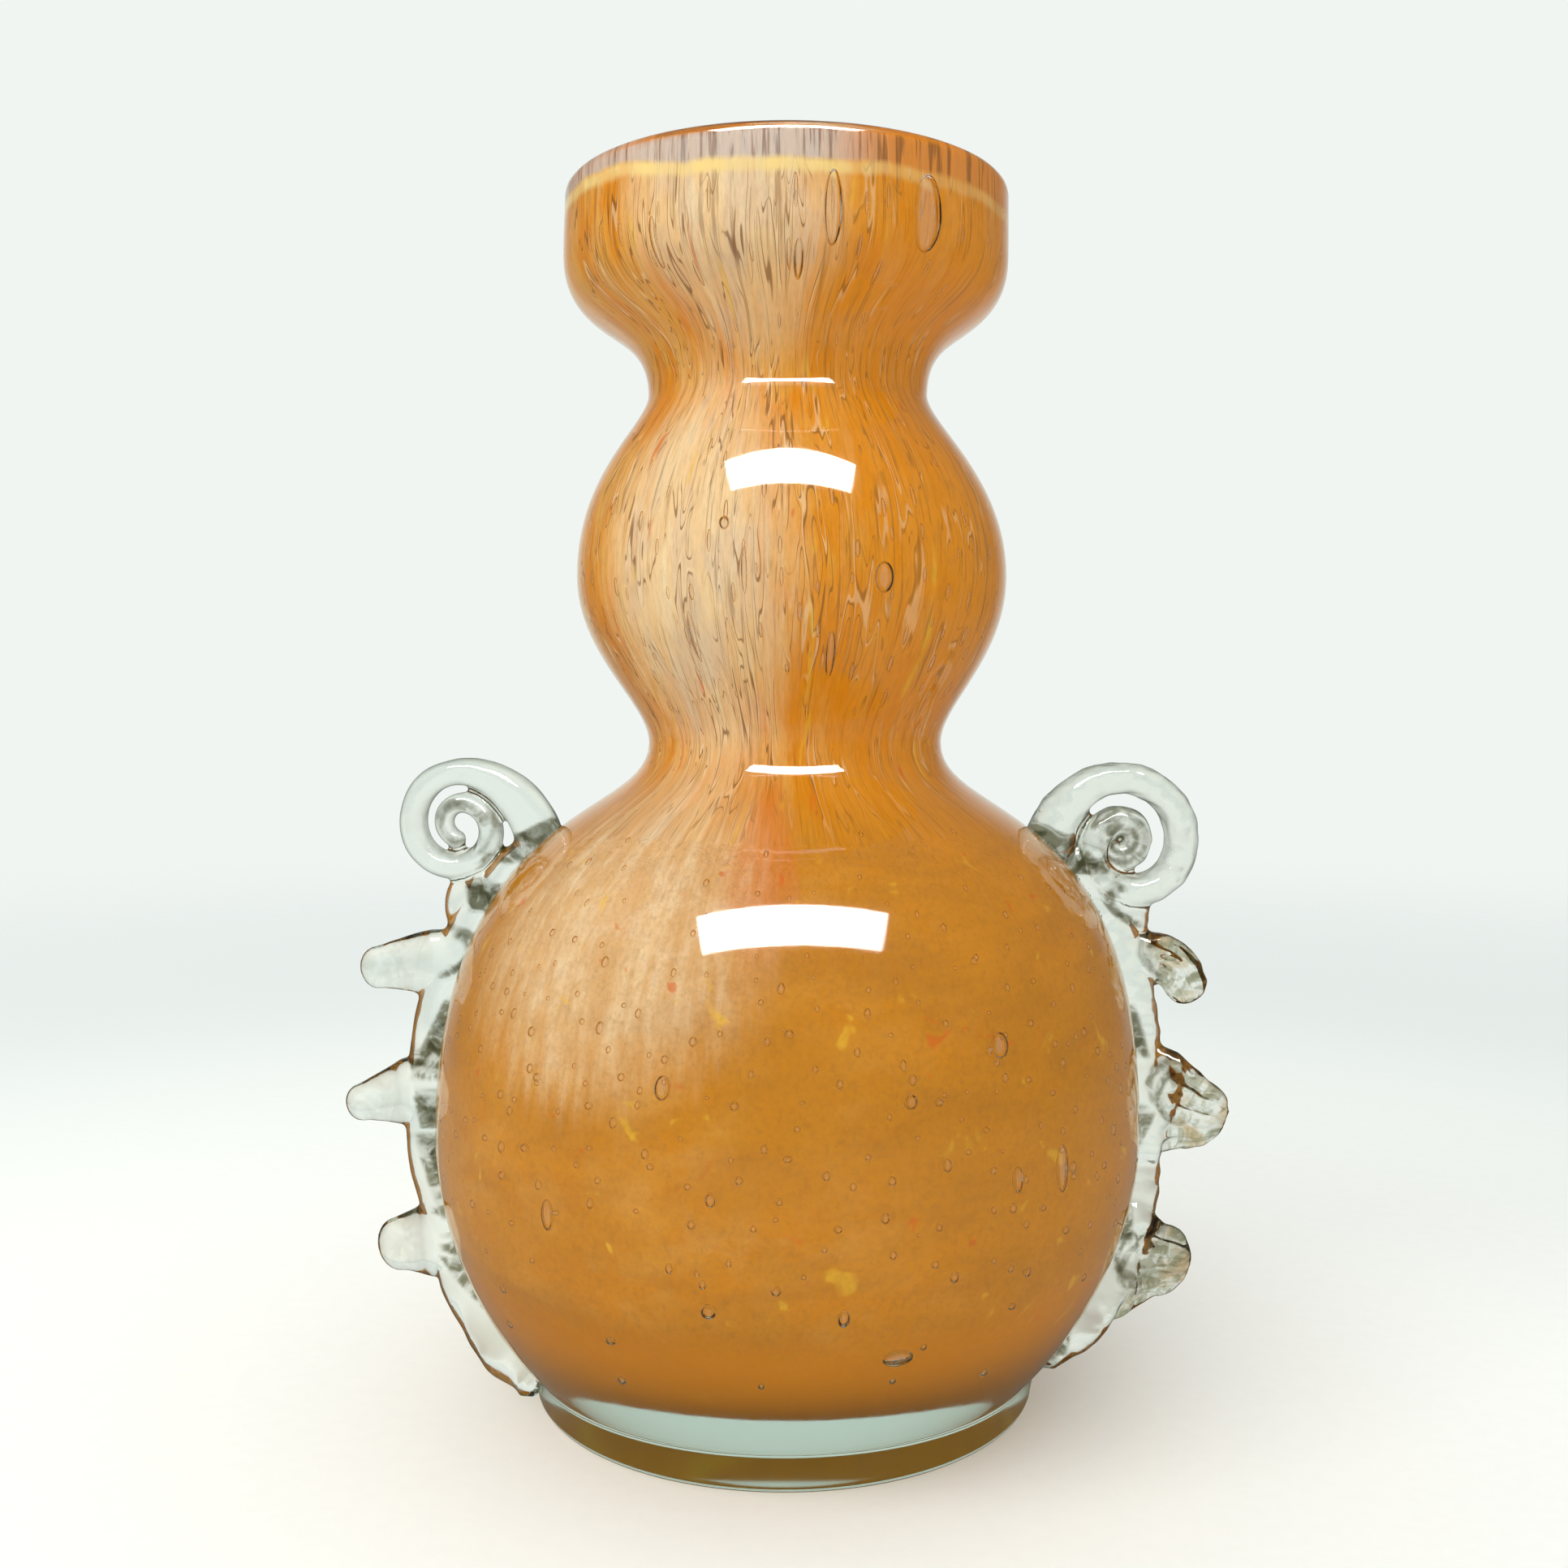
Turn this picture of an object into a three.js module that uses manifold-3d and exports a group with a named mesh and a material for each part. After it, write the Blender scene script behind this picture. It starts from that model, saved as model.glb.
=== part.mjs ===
// Hand-blown glass vase: a globe, a bulb and a cup mouth, one above the other on two necks.
// The wall is three bits of glass fused face to face: a clear inner gather, an orange colour layer
// full of seeds and streaks, and a clear outer casing that runs into a thick, clear base.
// A clear trail is laid up each side of the globe. It is pinched out into three fins, and its last
// end is pulled off the shoulder and rolled into a scroll.
// Units are millimetres. Z is up, the origin is the centre of the resting face, -Y is the front.

import * as THREE from 'three';
import { mergeVertices } from 'three/addons/utils/BufferGeometryUtils.js';
import Module from 'manifold-3d';

const wasm = await Module();
wasm.setup();

// Sections of the body, each the rise from the station below it. The globe's is from the resting face.
const HEEL_RISE = 2.2;
const FOOT_RISE = 5.3;
const GLOBE_RISE = 50.2;
const LOWER_NECK_RISE = 70.2;
const BULB_RISE = 29.9;
const UPPER_NECK_RISE = 33.1;
const CUP_RISE = 23.8;
const RIM_RISE = 12.8;

// Outer radius at each station
const RESTING_RADIUS = 43.4;
const HEEL_RADIUS = 46.0;
const FOOT_RADIUS = 47.0;
const GLOBE_RADIUS = 64.5;
const LOWER_NECK_RADIUS = 26.9;
const BULB_RADIUS = 39.2;
const UPPER_NECK_RADIUS = 25.4;
const CUP_RADIUS = 40.2;
const RIM_RADIUS = 40.0;

// Sideways drift of the axis at each station, as the soft glass sagged on the pipe
const GLOBE_DRIFT = 0.6;
const LOWER_NECK_DRIFT = 2.0;
const BULB_DRIFT = 1.4;
const UPPER_NECK_DRIFT = 0.7;
const CUP_DRIFT = 0.35;
const RIM_DRIFT = 0.5;

// Wall and base
const CASING_WALL = 2.6;
const COLOUR_WALL = 0.8;
const GATHER_WALL = 1.4;
const SEAM = 0.3;
const BASE_THICKNESS = 15;
const GATHER_FLOOR = 2.4;
const FLOOR_REACH = 30;
const FOOT_FLARE = 4.0;
const FOOT_FLARE_ANGLE = 45;
const LIP_ROUND = 1.2;

const SEGMENTS = 32;
const LIP_STEPS = 2;
const FLOOR_STEPS = 3;

// Trails. Heights are measured up from the globe's widest line, and standOff is from the wall.
// width runs along the wall and swing moves the strap towards the front.
const TRAIL_GAP = 0.3;
const STRAP_BED = 2.2;
const FIN_BED = 3.0;

const LEFT_TRAIL = {
  name: 'left_trail',
  side: -1,
  strap: [
    { height: -47.4, standOff: 1.6, width: 4.2, swing: 11.4 },
    { height: -45.0, standOff: 4.6, width: 7.2, swing: 10.8 },
    { height: -39.5, standOff: 7.2, width: 9.2, swing: 8.6 },
    { height: -30.0, standOff: 7.2, width: 9.8, swing: 5.4 },
    { height: -18.0, standOff: 5.6, width: 9.4, swing: 3.0 },
    { height: -6.5, standOff: 7.2, width: 9.6, swing: 1.4 },
    { height: 6.0, standOff: 6.8, width: 9.2, swing: 0.6 },
    { height: 16.5, standOff: 7.2, width: 9.0, swing: 0 },
    { height: 27.0, standOff: 6.4, width: 8.6, swing: 0 },
    { height: 36.0, standOff: 5.6, width: 8.2, swing: 0 },
    { height: 46.0, standOff: 4.2, width: 8.0, swing: 0 },
    { height: 54.5, standOff: 3.0, width: 7.0, swing: 0 },
  ],
  saddle: { height: 39.6, reach: 8.4, root: 15.0, tip: 11.0, end: 2.6, thick: 7.0 },
  fins: [
    { height: 29.4, reach: 19.6, root: 12.4, tip: 7.2, end: 3.6, waist: 1.1, droop: 2, curl: 6, thick: 4.4 },
    { height: 6.4, reach: 18.8, root: 13.2, tip: 7.4, end: 3.6, waist: 1.0, droop: 10, curl: 6, thick: 4.4 },
    { height: -21.2, reach: 15.8, root: 13.6, tip: 9.4, end: 4.4, waist: 1.0, droop: 6, curl: 6, thick: 4.8 },
  ],
  scroll: {
    seat: 53.5,
    out: 15.5,
    up: 1.1,
    radius: 10.3,
    innerRadius: 4.9,
    flare: 4.6,
    rodStart: 9.4,
    rod: 5.4,
    rodEnd: 4.4,
    depth: 9.0,
    depthEnd: 6.0,
    from: -22,
    joins: 70,
    winds: 225,
    wound: 400,
    to: 545,
  },
};

const RIGHT_TRAIL = {
  name: 'right_trail',
  side: 1,
  strap: [
    { height: -44.9, standOff: 1.8, width: 3.4, swing: 5.0 },
    { height: -42.2, standOff: 5.2, width: 6.6, swing: 4.8 },
    { height: -36.0, standOff: 8.0, width: 9.0, swing: 4.0 },
    { height: -28.0, standOff: 8.0, width: 9.8, swing: 3.0 },
    { height: -14.0, standOff: 6.8, width: 9.4, swing: 2.0 },
    { height: -7.0, standOff: 6.4, width: 9.2, swing: 1.4 },
    { height: 4.0, standOff: 6.0, width: 9.4, swing: 1.0 },
    { height: 14.0, standOff: 6.4, width: 9.0, swing: 0.6 },
    { height: 25.0, standOff: 6.2, width: 8.8, swing: 0 },
    { height: 35.0, standOff: 5.6, width: 8.4, swing: 0 },
    { height: 45.0, standOff: 4.4, width: 8.2, swing: 0 },
    { height: 53.0, standOff: 3.0, width: 7.0, swing: 0 },
  ],
  saddle: { height: 38.4, reach: 10.0, root: 16.0, tip: 10.0, end: 3.2, thick: 7.0 },
  fins: [
    { height: 29.0, reach: 19.2, root: 9.6, tip: 8.0, end: 3.8, waist: 1, droop: -4, curl: 70, thick: 5.6, twist: 24, ridges: 4 },
    { height: 4.4, reach: 18.4, root: 20.4, tip: 14.6, end: 6.4, waist: 0.8, droop: 11, curl: 6, thick: 5.2, twist: 20, ridges: 5 },
    { height: -27.2, reach: 18.0, root: 21.2, tip: 16.4, end: 6.2, waist: 0.8, droop: 2, curl: 2, thick: 5.2, twist: 18, ridges: 5 },
  ],
  scroll: {
    seat: 52.0,
    out: 14.3,
    up: 0.2,
    radius: 11.3,
    innerRadius: 5.5,
    flare: 3.2,
    rodStart: 9.6,
    rod: 6.2,
    rodEnd: 4.6,
    depth: 10.0,
    depthEnd: 6.0,
    from: -22,
    joins: 60,
    winds: 200,
    wound: 400,
    to: 590,
  },
};

const STRAP_SIDES = 12;
const STRAP_STEPS = 15;
const SCROLL_SIDES = 10;
const SCROLL_STEP_ANGLE = 22;
const FIN_STEPS = 5;
const PLAIN_FIN_SIDES = 12;
const SIDES_PER_RIDGE = 6;
const RIDGE_DEPTH = 0.28;
const CAP_STEPS = 2;
const SQUARENESS = 2.5;

const clearGlass = { color: 0xdcebe6, roughness: 0.04, metalness: 0, transparent: true, opacity: 0.45 };
const orangeGlass = { color: 0xc87a32, roughness: 0.25, metalness: 0 };
const paleGatherGlass = { color: 0xe3a25e, roughness: 0.06, metalness: 0, transparent: true, opacity: 0.6 };

// Stations from the foot's top up. below and above say how far the outline stays upright on that side,
// as a share of the section there. steps divide the section outside and innerSteps inside.
function bodyStations() {
  const globe = GLOBE_RISE;
  const lowerNeck = globe + LOWER_NECK_RISE;
  const bulb = lowerNeck + BULB_RISE;
  const upperNeck = bulb + UPPER_NECK_RISE;
  const cup = upperNeck + CUP_RISE;
  const lip = cup + RIM_RISE - LIP_ROUND;
  return [
    { z: HEEL_RISE + FOOT_RISE, r: FOOT_RADIUS, drift: 0, steps: 5, innerSteps: 5 },
    { z: globe, r: GLOBE_RADIUS, drift: GLOBE_DRIFT, below: 0.54, above: 0.87, steps: 7, innerSteps: 5 },
    { z: lowerNeck, r: LOWER_NECK_RADIUS, drift: LOWER_NECK_DRIFT, below: 0.21, above: 0.23, steps: 5, innerSteps: 4 },
    { z: bulb, r: BULB_RADIUS, drift: BULB_DRIFT, below: 0.48, above: 0.56, steps: 5, innerSteps: 4 },
    { z: upperNeck, r: UPPER_NECK_RADIUS, drift: UPPER_NECK_DRIFT, below: 0.17, above: 0.57, steps: 5, innerSteps: 4 },
    { z: cup, r: CUP_RADIUS, drift: CUP_DRIFT, below: 0.58, above: 0.5, steps: 1, innerSteps: 1 },
    { z: lip, r: RIM_RADIUS, drift: RIM_DRIFT, below: 0.3 },
  ];
}

const STATIONS = bodyStations();
const HEIGHT = STATIONS.at(-1).z + LIP_ROUND;

// One curve per section of the outer outline. x is the radius and y the height.
function outlineSections() {
  const sections = [];
  for (let i = 0; i + 1 < STATIONS.length; i += 1) {
    const low = STATIONS[i];
    const high = STATIONS[i + 1];
    const rise = high.z - low.z;
    const start = new THREE.Vector2(low.r, low.z);
    const leave = new THREE.Vector2(low.r, low.z + (low.above ?? 0) * rise);
    if (i === 0) {
      const angle = THREE.MathUtils.degToRad(FOOT_FLARE_ANGLE);
      leave.set(low.r + FOOT_FLARE * Math.cos(angle), low.z + FOOT_FLARE * Math.sin(angle));
    }
    const arrive = new THREE.Vector2(high.r, high.z - high.below * rise);
    const end = new THREE.Vector2(high.r, high.z);
    const curve = new THREE.CubicBezierCurve(start, leave, arrive, end);
    sections.push({ curve, steps: low.steps, innerSteps: low.innerSteps });
  }
  return sections;
}

const SECTIONS = outlineSections();

// A point of the outline moved inwards, square to it. A negative depth moves it outwards.
function offsetPoint(curve, t, depth) {
  const point = curve.getPoint(t);
  const along = curve.getTangent(t);
  return new THREE.Vector2(point.x - depth * along.y, point.y + depth * along.x);
}

function sectionPoints(curve, depth, firstStep, steps) {
  const points = [];
  for (let step = firstStep; step <= steps; step += 1) {
    points.push(offsetPoint(curve, step / steps, depth));
  }
  return points;
}

// The outside of the body above its heel, or a surface that depth moves inwards or outwards
const FOOT = new THREE.LineCurve(
  new THREE.Vector2(HEEL_RADIUS, HEEL_RISE),
  new THREE.Vector2(FOOT_RADIUS, HEEL_RISE + FOOT_RISE),
);

function outerLine(depth = 0) {
  const wall = SECTIONS.flatMap(({ curve, steps }, index) => (
    sectionPoints(curve, depth, index === 0 ? 0 : 1, steps)
  ));
  return [offsetPoint(FOOT, 0, depth), ...wall];
}

// How far the axis has drifted sideways at a height
function driftAt(z) {
  for (let i = 0; i + 1 < STATIONS.length; i += 1) {
    const low = STATIONS[i];
    const high = STATIONS[i + 1];
    if (z <= high.z) {
      const share = THREE.MathUtils.smoothstep(z, low.z, high.z);
      return THREE.MathUtils.lerp(low.drift, high.drift, share);
    }
  }
  return STATIONS.at(-1).drift;
}

// The bowl-shaped floor of a layer, from the axis out to where its wall starts
const FLOOR_WALL_STEP = 2;

function floorLine(depth, floorHeight) {
  const { curve, innerSteps } = SECTIONS[0];
  const t = FLOOR_WALL_STEP / innerSteps;
  const joint = offsetPoint(curve, t, depth);
  const along = curve.getTangent(t);
  const pull = (joint.y - floorHeight) * 0.9;
  const bowl = new THREE.CubicBezierCurve(
    new THREE.Vector2(0, floorHeight),
    new THREE.Vector2(FLOOR_REACH, floorHeight),
    new THREE.Vector2(joint.x - along.x * pull, joint.y - along.y * pull),
    joint,
  );
  return bowl.getPoints(FLOOR_STEPS);
}

// A whole surface of the wall, from the axis over the floor and up to the rim's plane
function layerLine(depth, floorHeight) {
  const wall = SECTIONS.flatMap(({ curve, innerSteps }, index) => (
    sectionPoints(curve, depth, index === 0 ? FLOOR_WALL_STEP + 1 : 1, innerSteps)
  ));
  return [...floorLine(depth, floorHeight), ...wall, new THREE.Vector2(wall.at(-1).x, HEIGHT)];
}

function roundCorner(centreX, centreY, radius, fromAngle, toAngle) {
  const points = [];
  for (let step = 1; step <= LIP_STEPS; step += 1) {
    const angle = THREE.MathUtils.lerp(fromAngle, toAngle, step / LIP_STEPS);
    points.push(new THREE.Vector2(centreX + radius * Math.cos(angle), centreY + radius * Math.sin(angle)));
  }
  return points;
}

// Turns a profile round the axis, stands it up along Z and drifts it sideways
function turned(profile) {
  const lathe = new THREE.LatheGeometry(profile, SEGMENTS, Math.PI / 2);
  lathe.rotateX(Math.PI / 2);
  const position = lathe.attributes.position;
  for (let i = 0; i < position.count; i += 1) {
    position.setX(i, position.getX(i) + driftAt(position.getZ(i)));
  }
  return lathe;
}

function casingGeometry() {
  const outside = outerLine();
  const rimX = outside.at(-1).x;
  const inside = layerLine(CASING_WALL, BASE_THICKNESS).reverse();
  const roll = HEEL_RADIUS - RESTING_RADIUS;
  const heel = [
    new THREE.Vector2(RESTING_RADIUS, 0),
    new THREE.Vector2(RESTING_RADIUS + roll * Math.SQRT1_2, HEEL_RISE * (1 - Math.SQRT1_2)),
  ];
  const lip = roundCorner(rimX - LIP_ROUND, HEIGHT - LIP_ROUND, LIP_ROUND, 0, Math.PI / 2);
  return turned([new THREE.Vector2(0, 0), ...heel, ...outside, ...lip, ...inside]);
}

function colourGeometry() {
  const outerDepth = CASING_WALL + SEAM;
  const outerFloor = BASE_THICKNESS + SEAM;
  const outside = layerLine(outerDepth, outerFloor);
  const inside = layerLine(outerDepth + COLOUR_WALL, outerFloor + COLOUR_WALL).reverse();
  return turned([...outside, ...inside]);
}

function gatherGeometry() {
  const outerDepth = CASING_WALL + SEAM + COLOUR_WALL + SEAM;
  const outerFloor = BASE_THICKNESS + SEAM + COLOUR_WALL + SEAM;
  const outside = layerLine(outerDepth, outerFloor);
  const inside = layerLine(outerDepth + GATHER_WALL, outerFloor + GATHER_FLOOR);
  const bore = inside.at(-1).x;
  const lip = roundCorner(bore + LIP_ROUND, HEIGHT - LIP_ROUND, LIP_ROUND, Math.PI / 2, Math.PI);
  const top = new THREE.Vector2(bore + LIP_ROUND, HEIGHT);
  const down = inside.slice(0, -2).reverse();
  return turned([...outside, top, ...lip, ...down]);
}

// The outer wall at a height: its point and the outward direction square to it, in the XZ plane.
// The foot lends the direction of the wall above it, so that no two rings of a strap cross there.
const FINE_STEPS = 60;
const FINE_WALL = [{ point: FOOT.getPoint(0), along: SECTIONS[0].curve.getTangent(0) }];
for (const { curve } of SECTIONS) {
  for (let step = 0; step < FINE_STEPS; step += 1) {
    const t = step / FINE_STEPS;
    FINE_WALL.push({ point: curve.getPoint(t), along: curve.getTangent(t) });
  }
}

function wallAt(z, side) {
  const above = FINE_WALL.findIndex(({ point }) => point.y > z);
  const high = FINE_WALL[Math.max(above, 1)];
  const low = FINE_WALL[Math.max(above, 1) - 1];
  const share = THREE.MathUtils.inverseLerp(low.point.y, high.point.y, z);
  const radius = THREE.MathUtils.lerp(low.point.x, high.point.x, share);
  const along = low.along.clone().lerp(high.along, share).normalize();
  return {
    point: new THREE.Vector3(side * radius + driftAt(z), 0, z),
    outward: new THREE.Vector3(side * along.y, 0, -along.x),
  };
}

// A closed body through rings that are square to a path. Each station gives the ring's centre, the
// direction of its width and of its thickness, half of each, and how many ridges its faces carry.
function loft(stations, sides) {
  const positions = [];
  const index = [];
  for (const { centre, across, through, halfAcross, halfThrough, ridges = 0 } of stations) {
    for (let i = 0; i < sides; i += 1) {
      const angle = (i / sides) * 2 * Math.PI;
      const cos = Math.cos(angle);
      const sin = Math.sin(angle);
      const u = Math.sign(cos) * Math.abs(cos) ** (2 / SQUARENESS);
      const ripple = ridges ? 1 - RIDGE_DEPTH * (0.5 - 0.5 * Math.cos(u * ridges * Math.PI)) : 1;
      const v = Math.sign(sin) * Math.abs(sin) ** (2 / SQUARENESS) * ripple;
      const point = centre.clone();
      point.addScaledVector(across, u * halfAcross);
      point.addScaledVector(through, v * halfThrough);
      positions.push(point.x, point.y, point.z);
    }
  }
  const rings = stations.length;
  for (let ring = 0; ring + 1 < rings; ring += 1) {
    for (let i = 0; i < sides; i += 1) {
      const a = ring * sides + i;
      const b = ring * sides + ((i + 1) % sides);
      index.push(a, b, b + sides, a, b + sides, a + sides);
    }
  }
  const ends = [stations[0].centre, stations.at(-1).centre];
  ends.forEach((end) => positions.push(end.x, end.y, end.z));
  const firstHub = rings * sides;
  const lastRing = (rings - 1) * sides;
  for (let i = 0; i < sides; i += 1) {
    const next = (i + 1) % sides;
    index.push(firstHub, next, i);
    index.push(firstHub + 1, lastRing + i, lastRing + next);
  }
  const geometry = new THREE.BufferGeometry();
  geometry.setAttribute('position', new THREE.Float32BufferAttribute(positions, 3));
  geometry.setIndex(index);
  return geometry;
}

// Shrinks the last rings to a round end, going on past the last station by its half width
function withRoundEnd(stations, along, length) {
  const last = stations.at(-1);
  const rounded = [...stations];
  for (let step = 1; step <= CAP_STEPS; step += 1) {
    const angle = (step / (CAP_STEPS + 0.6)) * (Math.PI / 2);
    rounded.push({
      ...last,
      centre: last.centre.clone().addScaledVector(along, length * Math.sin(angle)),
      halfAcross: last.halfAcross * Math.cos(angle),
      halfThrough: last.halfThrough * Math.cos(angle),
    });
  }
  return rounded;
}

const FRONT = new THREE.Vector3(0, -1, 0);

// Reads a column of a list of strap stations at a height, smoothly
function strapValue(strap, key, height) {
  const last = strap.length - 1;
  let i = 0;
  while (i < last - 1 && height > strap[i + 1].height) i += 1;
  const share = THREE.MathUtils.smoothstep(height, strap[i].height, strap[i + 1].height);
  return THREE.MathUtils.lerp(strap[i][key], strap[i + 1][key], share);
}

// The strap lies along the wall and is bedded a little into it, for the wall to cut
function strapGeometry({ side, strap }) {
  const lowest = strap[0].height;
  const highest = strap.at(-1).height;
  const stations = [];
  for (let step = 0; step <= STRAP_STEPS; step += 1) {
    const height = THREE.MathUtils.lerp(lowest, highest, step / STRAP_STEPS);
    const { point, outward } = wallAt(GLOBE_RISE + height, side);
    const standOff = strapValue(strap, 'standOff', height);
    const swing = strapValue(strap, 'swing', height);
    const radius = Math.abs(point.x);
    const turn = side * Math.asin(swing / radius);
    const upright = new THREE.Vector3(0, 0, 1);
    stations.push({
      centre: point.clone().addScaledVector(outward, (standOff - STRAP_BED) / 2).applyAxisAngle(upright, -turn),
      across: outward.clone().applyAxisAngle(upright, -turn),
      through: FRONT.clone().applyAxisAngle(upright, -turn).multiplyScalar(-side),
      halfAcross: (standOff + STRAP_BED) / 2,
      halfThrough: strapValue(strap, 'width', height) / 2,
    });
  }
  return loft(stations, STRAP_SIDES);
}

// A fin is drawn out of the strap by a pinch, so it is a flat tab with a wide foot and a round end
function finGeometry({ side, strap }, fin) {
  const { waist = 1, droop = 0, curl = 0, twist = 0, ridges = 0 } = fin;
  const { point } = wallAt(GLOBE_RISE + fin.height, side);
  const foot = strapValue(strap, 'standOff', fin.height);
  const centre = point.clone().addScaledVector(FRONT, strapValue(strap, 'swing', fin.height));
  centre.x -= side * FIN_BED;
  const shaft = fin.reach + FIN_BED - fin.end;
  const leaves = Math.min((foot + FIN_BED) / shaft, 0.6);
  const stations = [];
  for (let step = 0; step <= FIN_STEPS; step += 1) {
    const share = step / FIN_STEPS;
    const free = THREE.MathUtils.clamp((share - leaves) / (1 - leaves), 0, 1);
    const fall = THREE.MathUtils.degToRad(droop + curl * free);
    const along = new THREE.Vector3(side * Math.cos(fall), 0, -Math.sin(fall));
    if (step > 0) centre.addScaledVector(along, shaft / FIN_STEPS);
    const turn = THREE.MathUtils.degToRad(twist * THREE.MathUtils.smoothstep(share, 0.1, 0.8));
    const upward = new THREE.Vector3(side * Math.sin(fall), 0, Math.cos(fall)).multiplyScalar(side);
    const narrowing = (1 - free) ** waist;
    stations.push({
      centre: centre.clone(),
      along,
      across: upward.applyAxisAngle(along, turn),
      through: FRONT.clone().applyAxisAngle(along, turn),
      halfAcross: THREE.MathUtils.lerp(fin.tip, fin.root, narrowing) / 2,
      halfThrough: fin.thick * THREE.MathUtils.lerp(0.44, 0.62, narrowing),
      ridges: free > 0.1 ? ridges : 0,
    });
  }
  const sides = ridges ? SIDES_PER_RIDGE * ridges : PLAIN_FIN_SIDES;
  return loft(withRoundEnd(stations, stations.at(-1).along, fin.end), sides);
}

// The scroll's rod leaves the shoulder, goes over the top and out, and winds in under itself
function scrollGeometry({ side, scroll }) {
  const seat = wallAt(GLOBE_RISE + scroll.seat, side).point;
  const hub = new THREE.Vector3(seat.x + side * scroll.out, 0, seat.z + scroll.up);
  const count = Math.round((scroll.to - scroll.from) / SCROLL_STEP_ANGLE);
  const centreAt = (angle) => {
    const leaving = 1 - THREE.MathUtils.clamp((angle - scroll.from) / (scroll.joins - scroll.from), 0, 1);
    const winding = THREE.MathUtils.smoothstep(angle, scroll.winds, scroll.wound);
    const wound = THREE.MathUtils.lerp(scroll.radius, scroll.innerRadius, winding);
    const radius = wound + scroll.flare * leaving ** 2;
    const turn = THREE.MathUtils.degToRad(angle);
    return new THREE.Vector3(hub.x - side * radius * Math.cos(turn), 0, hub.z + radius * Math.sin(turn));
  };
  const stations = [];
  for (let step = 0; step <= count; step += 1) {
    const angle = THREE.MathUtils.lerp(scroll.from, scroll.to, step / count);
    const along = centreAt(angle + 1).sub(centreAt(angle - 1)).normalize();
    const thinning = THREE.MathUtils.smoothstep(angle, scroll.from, scroll.joins + 40);
    const ending = THREE.MathUtils.smoothstep(angle, scroll.winds, scroll.to);
    const rod = THREE.MathUtils.lerp(scroll.rodStart, scroll.rod, thinning);
    stations.push({
      centre: centreAt(angle),
      along,
      across: new THREE.Vector3(-along.z, 0, along.x).multiplyScalar(side),
      through: FRONT.clone().multiplyScalar(side),
      halfAcross: THREE.MathUtils.lerp(rod, scroll.rodEnd, ending) / 2,
      halfThrough: THREE.MathUtils.lerp(scroll.depth, scroll.depthEnd, ending) / 2,
    });
  }
  const last = stations.at(-1);
  return loft(withRoundEnd(stations, last.along, last.halfAcross), SCROLL_SIDES);
}

function toSolid(geometry) {
  const bare = geometry.clone();
  bare.deleteAttribute('normal');
  bare.deleteAttribute('uv');
  const merged = mergeVertices(bare, 1e-4);
  const corners = merged.index.array;
  const kept = [];
  for (let i = 0; i < corners.length; i += 3) {
    const [a, b, c] = [corners[i], corners[i + 1], corners[i + 2]];
    if (a !== b && b !== c && c !== a) kept.push(a, b, c);
  }
  const mesh = new wasm.Mesh({
    numProp: 3,
    vertProperties: new Float32Array(merged.attributes.position.array),
    triVerts: new Uint32Array(kept),
  });
  return new wasm.Manifold(mesh);
}

function toGeometry(solid) {
  const { vertProperties, triVerts, numProp } = solid.getMesh();
  const positions = new Float32Array((vertProperties.length / numProp) * 3);
  for (let i = 0; i < positions.length / 3; i += 1) {
    positions.set(vertProperties.subarray(i * numProp, i * numProp + 3), i * 3);
  }
  const geometry = new THREE.BufferGeometry();
  geometry.setAttribute('position', new THREE.BufferAttribute(positions, 3));
  geometry.setIndex(new THREE.BufferAttribute(new Uint32Array(triVerts), 1));
  geometry.computeVertexNormals();
  return geometry;
}

// The wall's outside, grown by the trail's gap and filled in, which cuts the back of each trail
function wallCutter() {
  const outside = outerLine(-TRAIL_GAP);
  const foot = new THREE.Vector2(outside[0].x, -1);
  const top = new THREE.Vector2(outside.at(-1).x, HEIGHT);
  const profile = [new THREE.Vector2(0, -1), foot, ...outside, top, new THREE.Vector2(0, HEIGHT)];
  return toSolid(turned(profile));
}

function trailGeometry(trail) {
  let solid = toSolid(strapGeometry(trail)).add(toSolid(scrollGeometry(trail)));
  for (const fin of [trail.saddle, ...trail.fins]) {
    solid = solid.add(toSolid(finGeometry(trail, fin)));
  }
  const pieces = solid.subtract(wallCutter()).decompose();
  pieces.sort((a, b) => b.volume() - a.volume());
  return toGeometry(pieces[0]);
}

function piece(name, geometry, look) {
  const mesh = new THREE.Mesh(geometry, new THREE.MeshStandardMaterial(look));
  mesh.name = name;
  return mesh;
}

const vase = new THREE.Group();
vase.add(piece('clear_casing', casingGeometry(), clearGlass));
vase.add(piece('colour_layer', colourGeometry(), orangeGlass));
vase.add(piece('inner_gather', gatherGeometry(), paleGatherGlass));
for (const trail of [LEFT_TRAIL, RIGHT_TRAIL]) {
  vase.add(piece(trail.name, trailGeometry(trail), clearGlass));
}

export default vase;
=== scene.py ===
"""Looks of the hand-blown glass vase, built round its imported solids. Lengths are millimetres until
a mesh is made."""

import math
import random

import bpy
import numpy as np
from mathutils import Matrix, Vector, noise as value_noise


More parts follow.
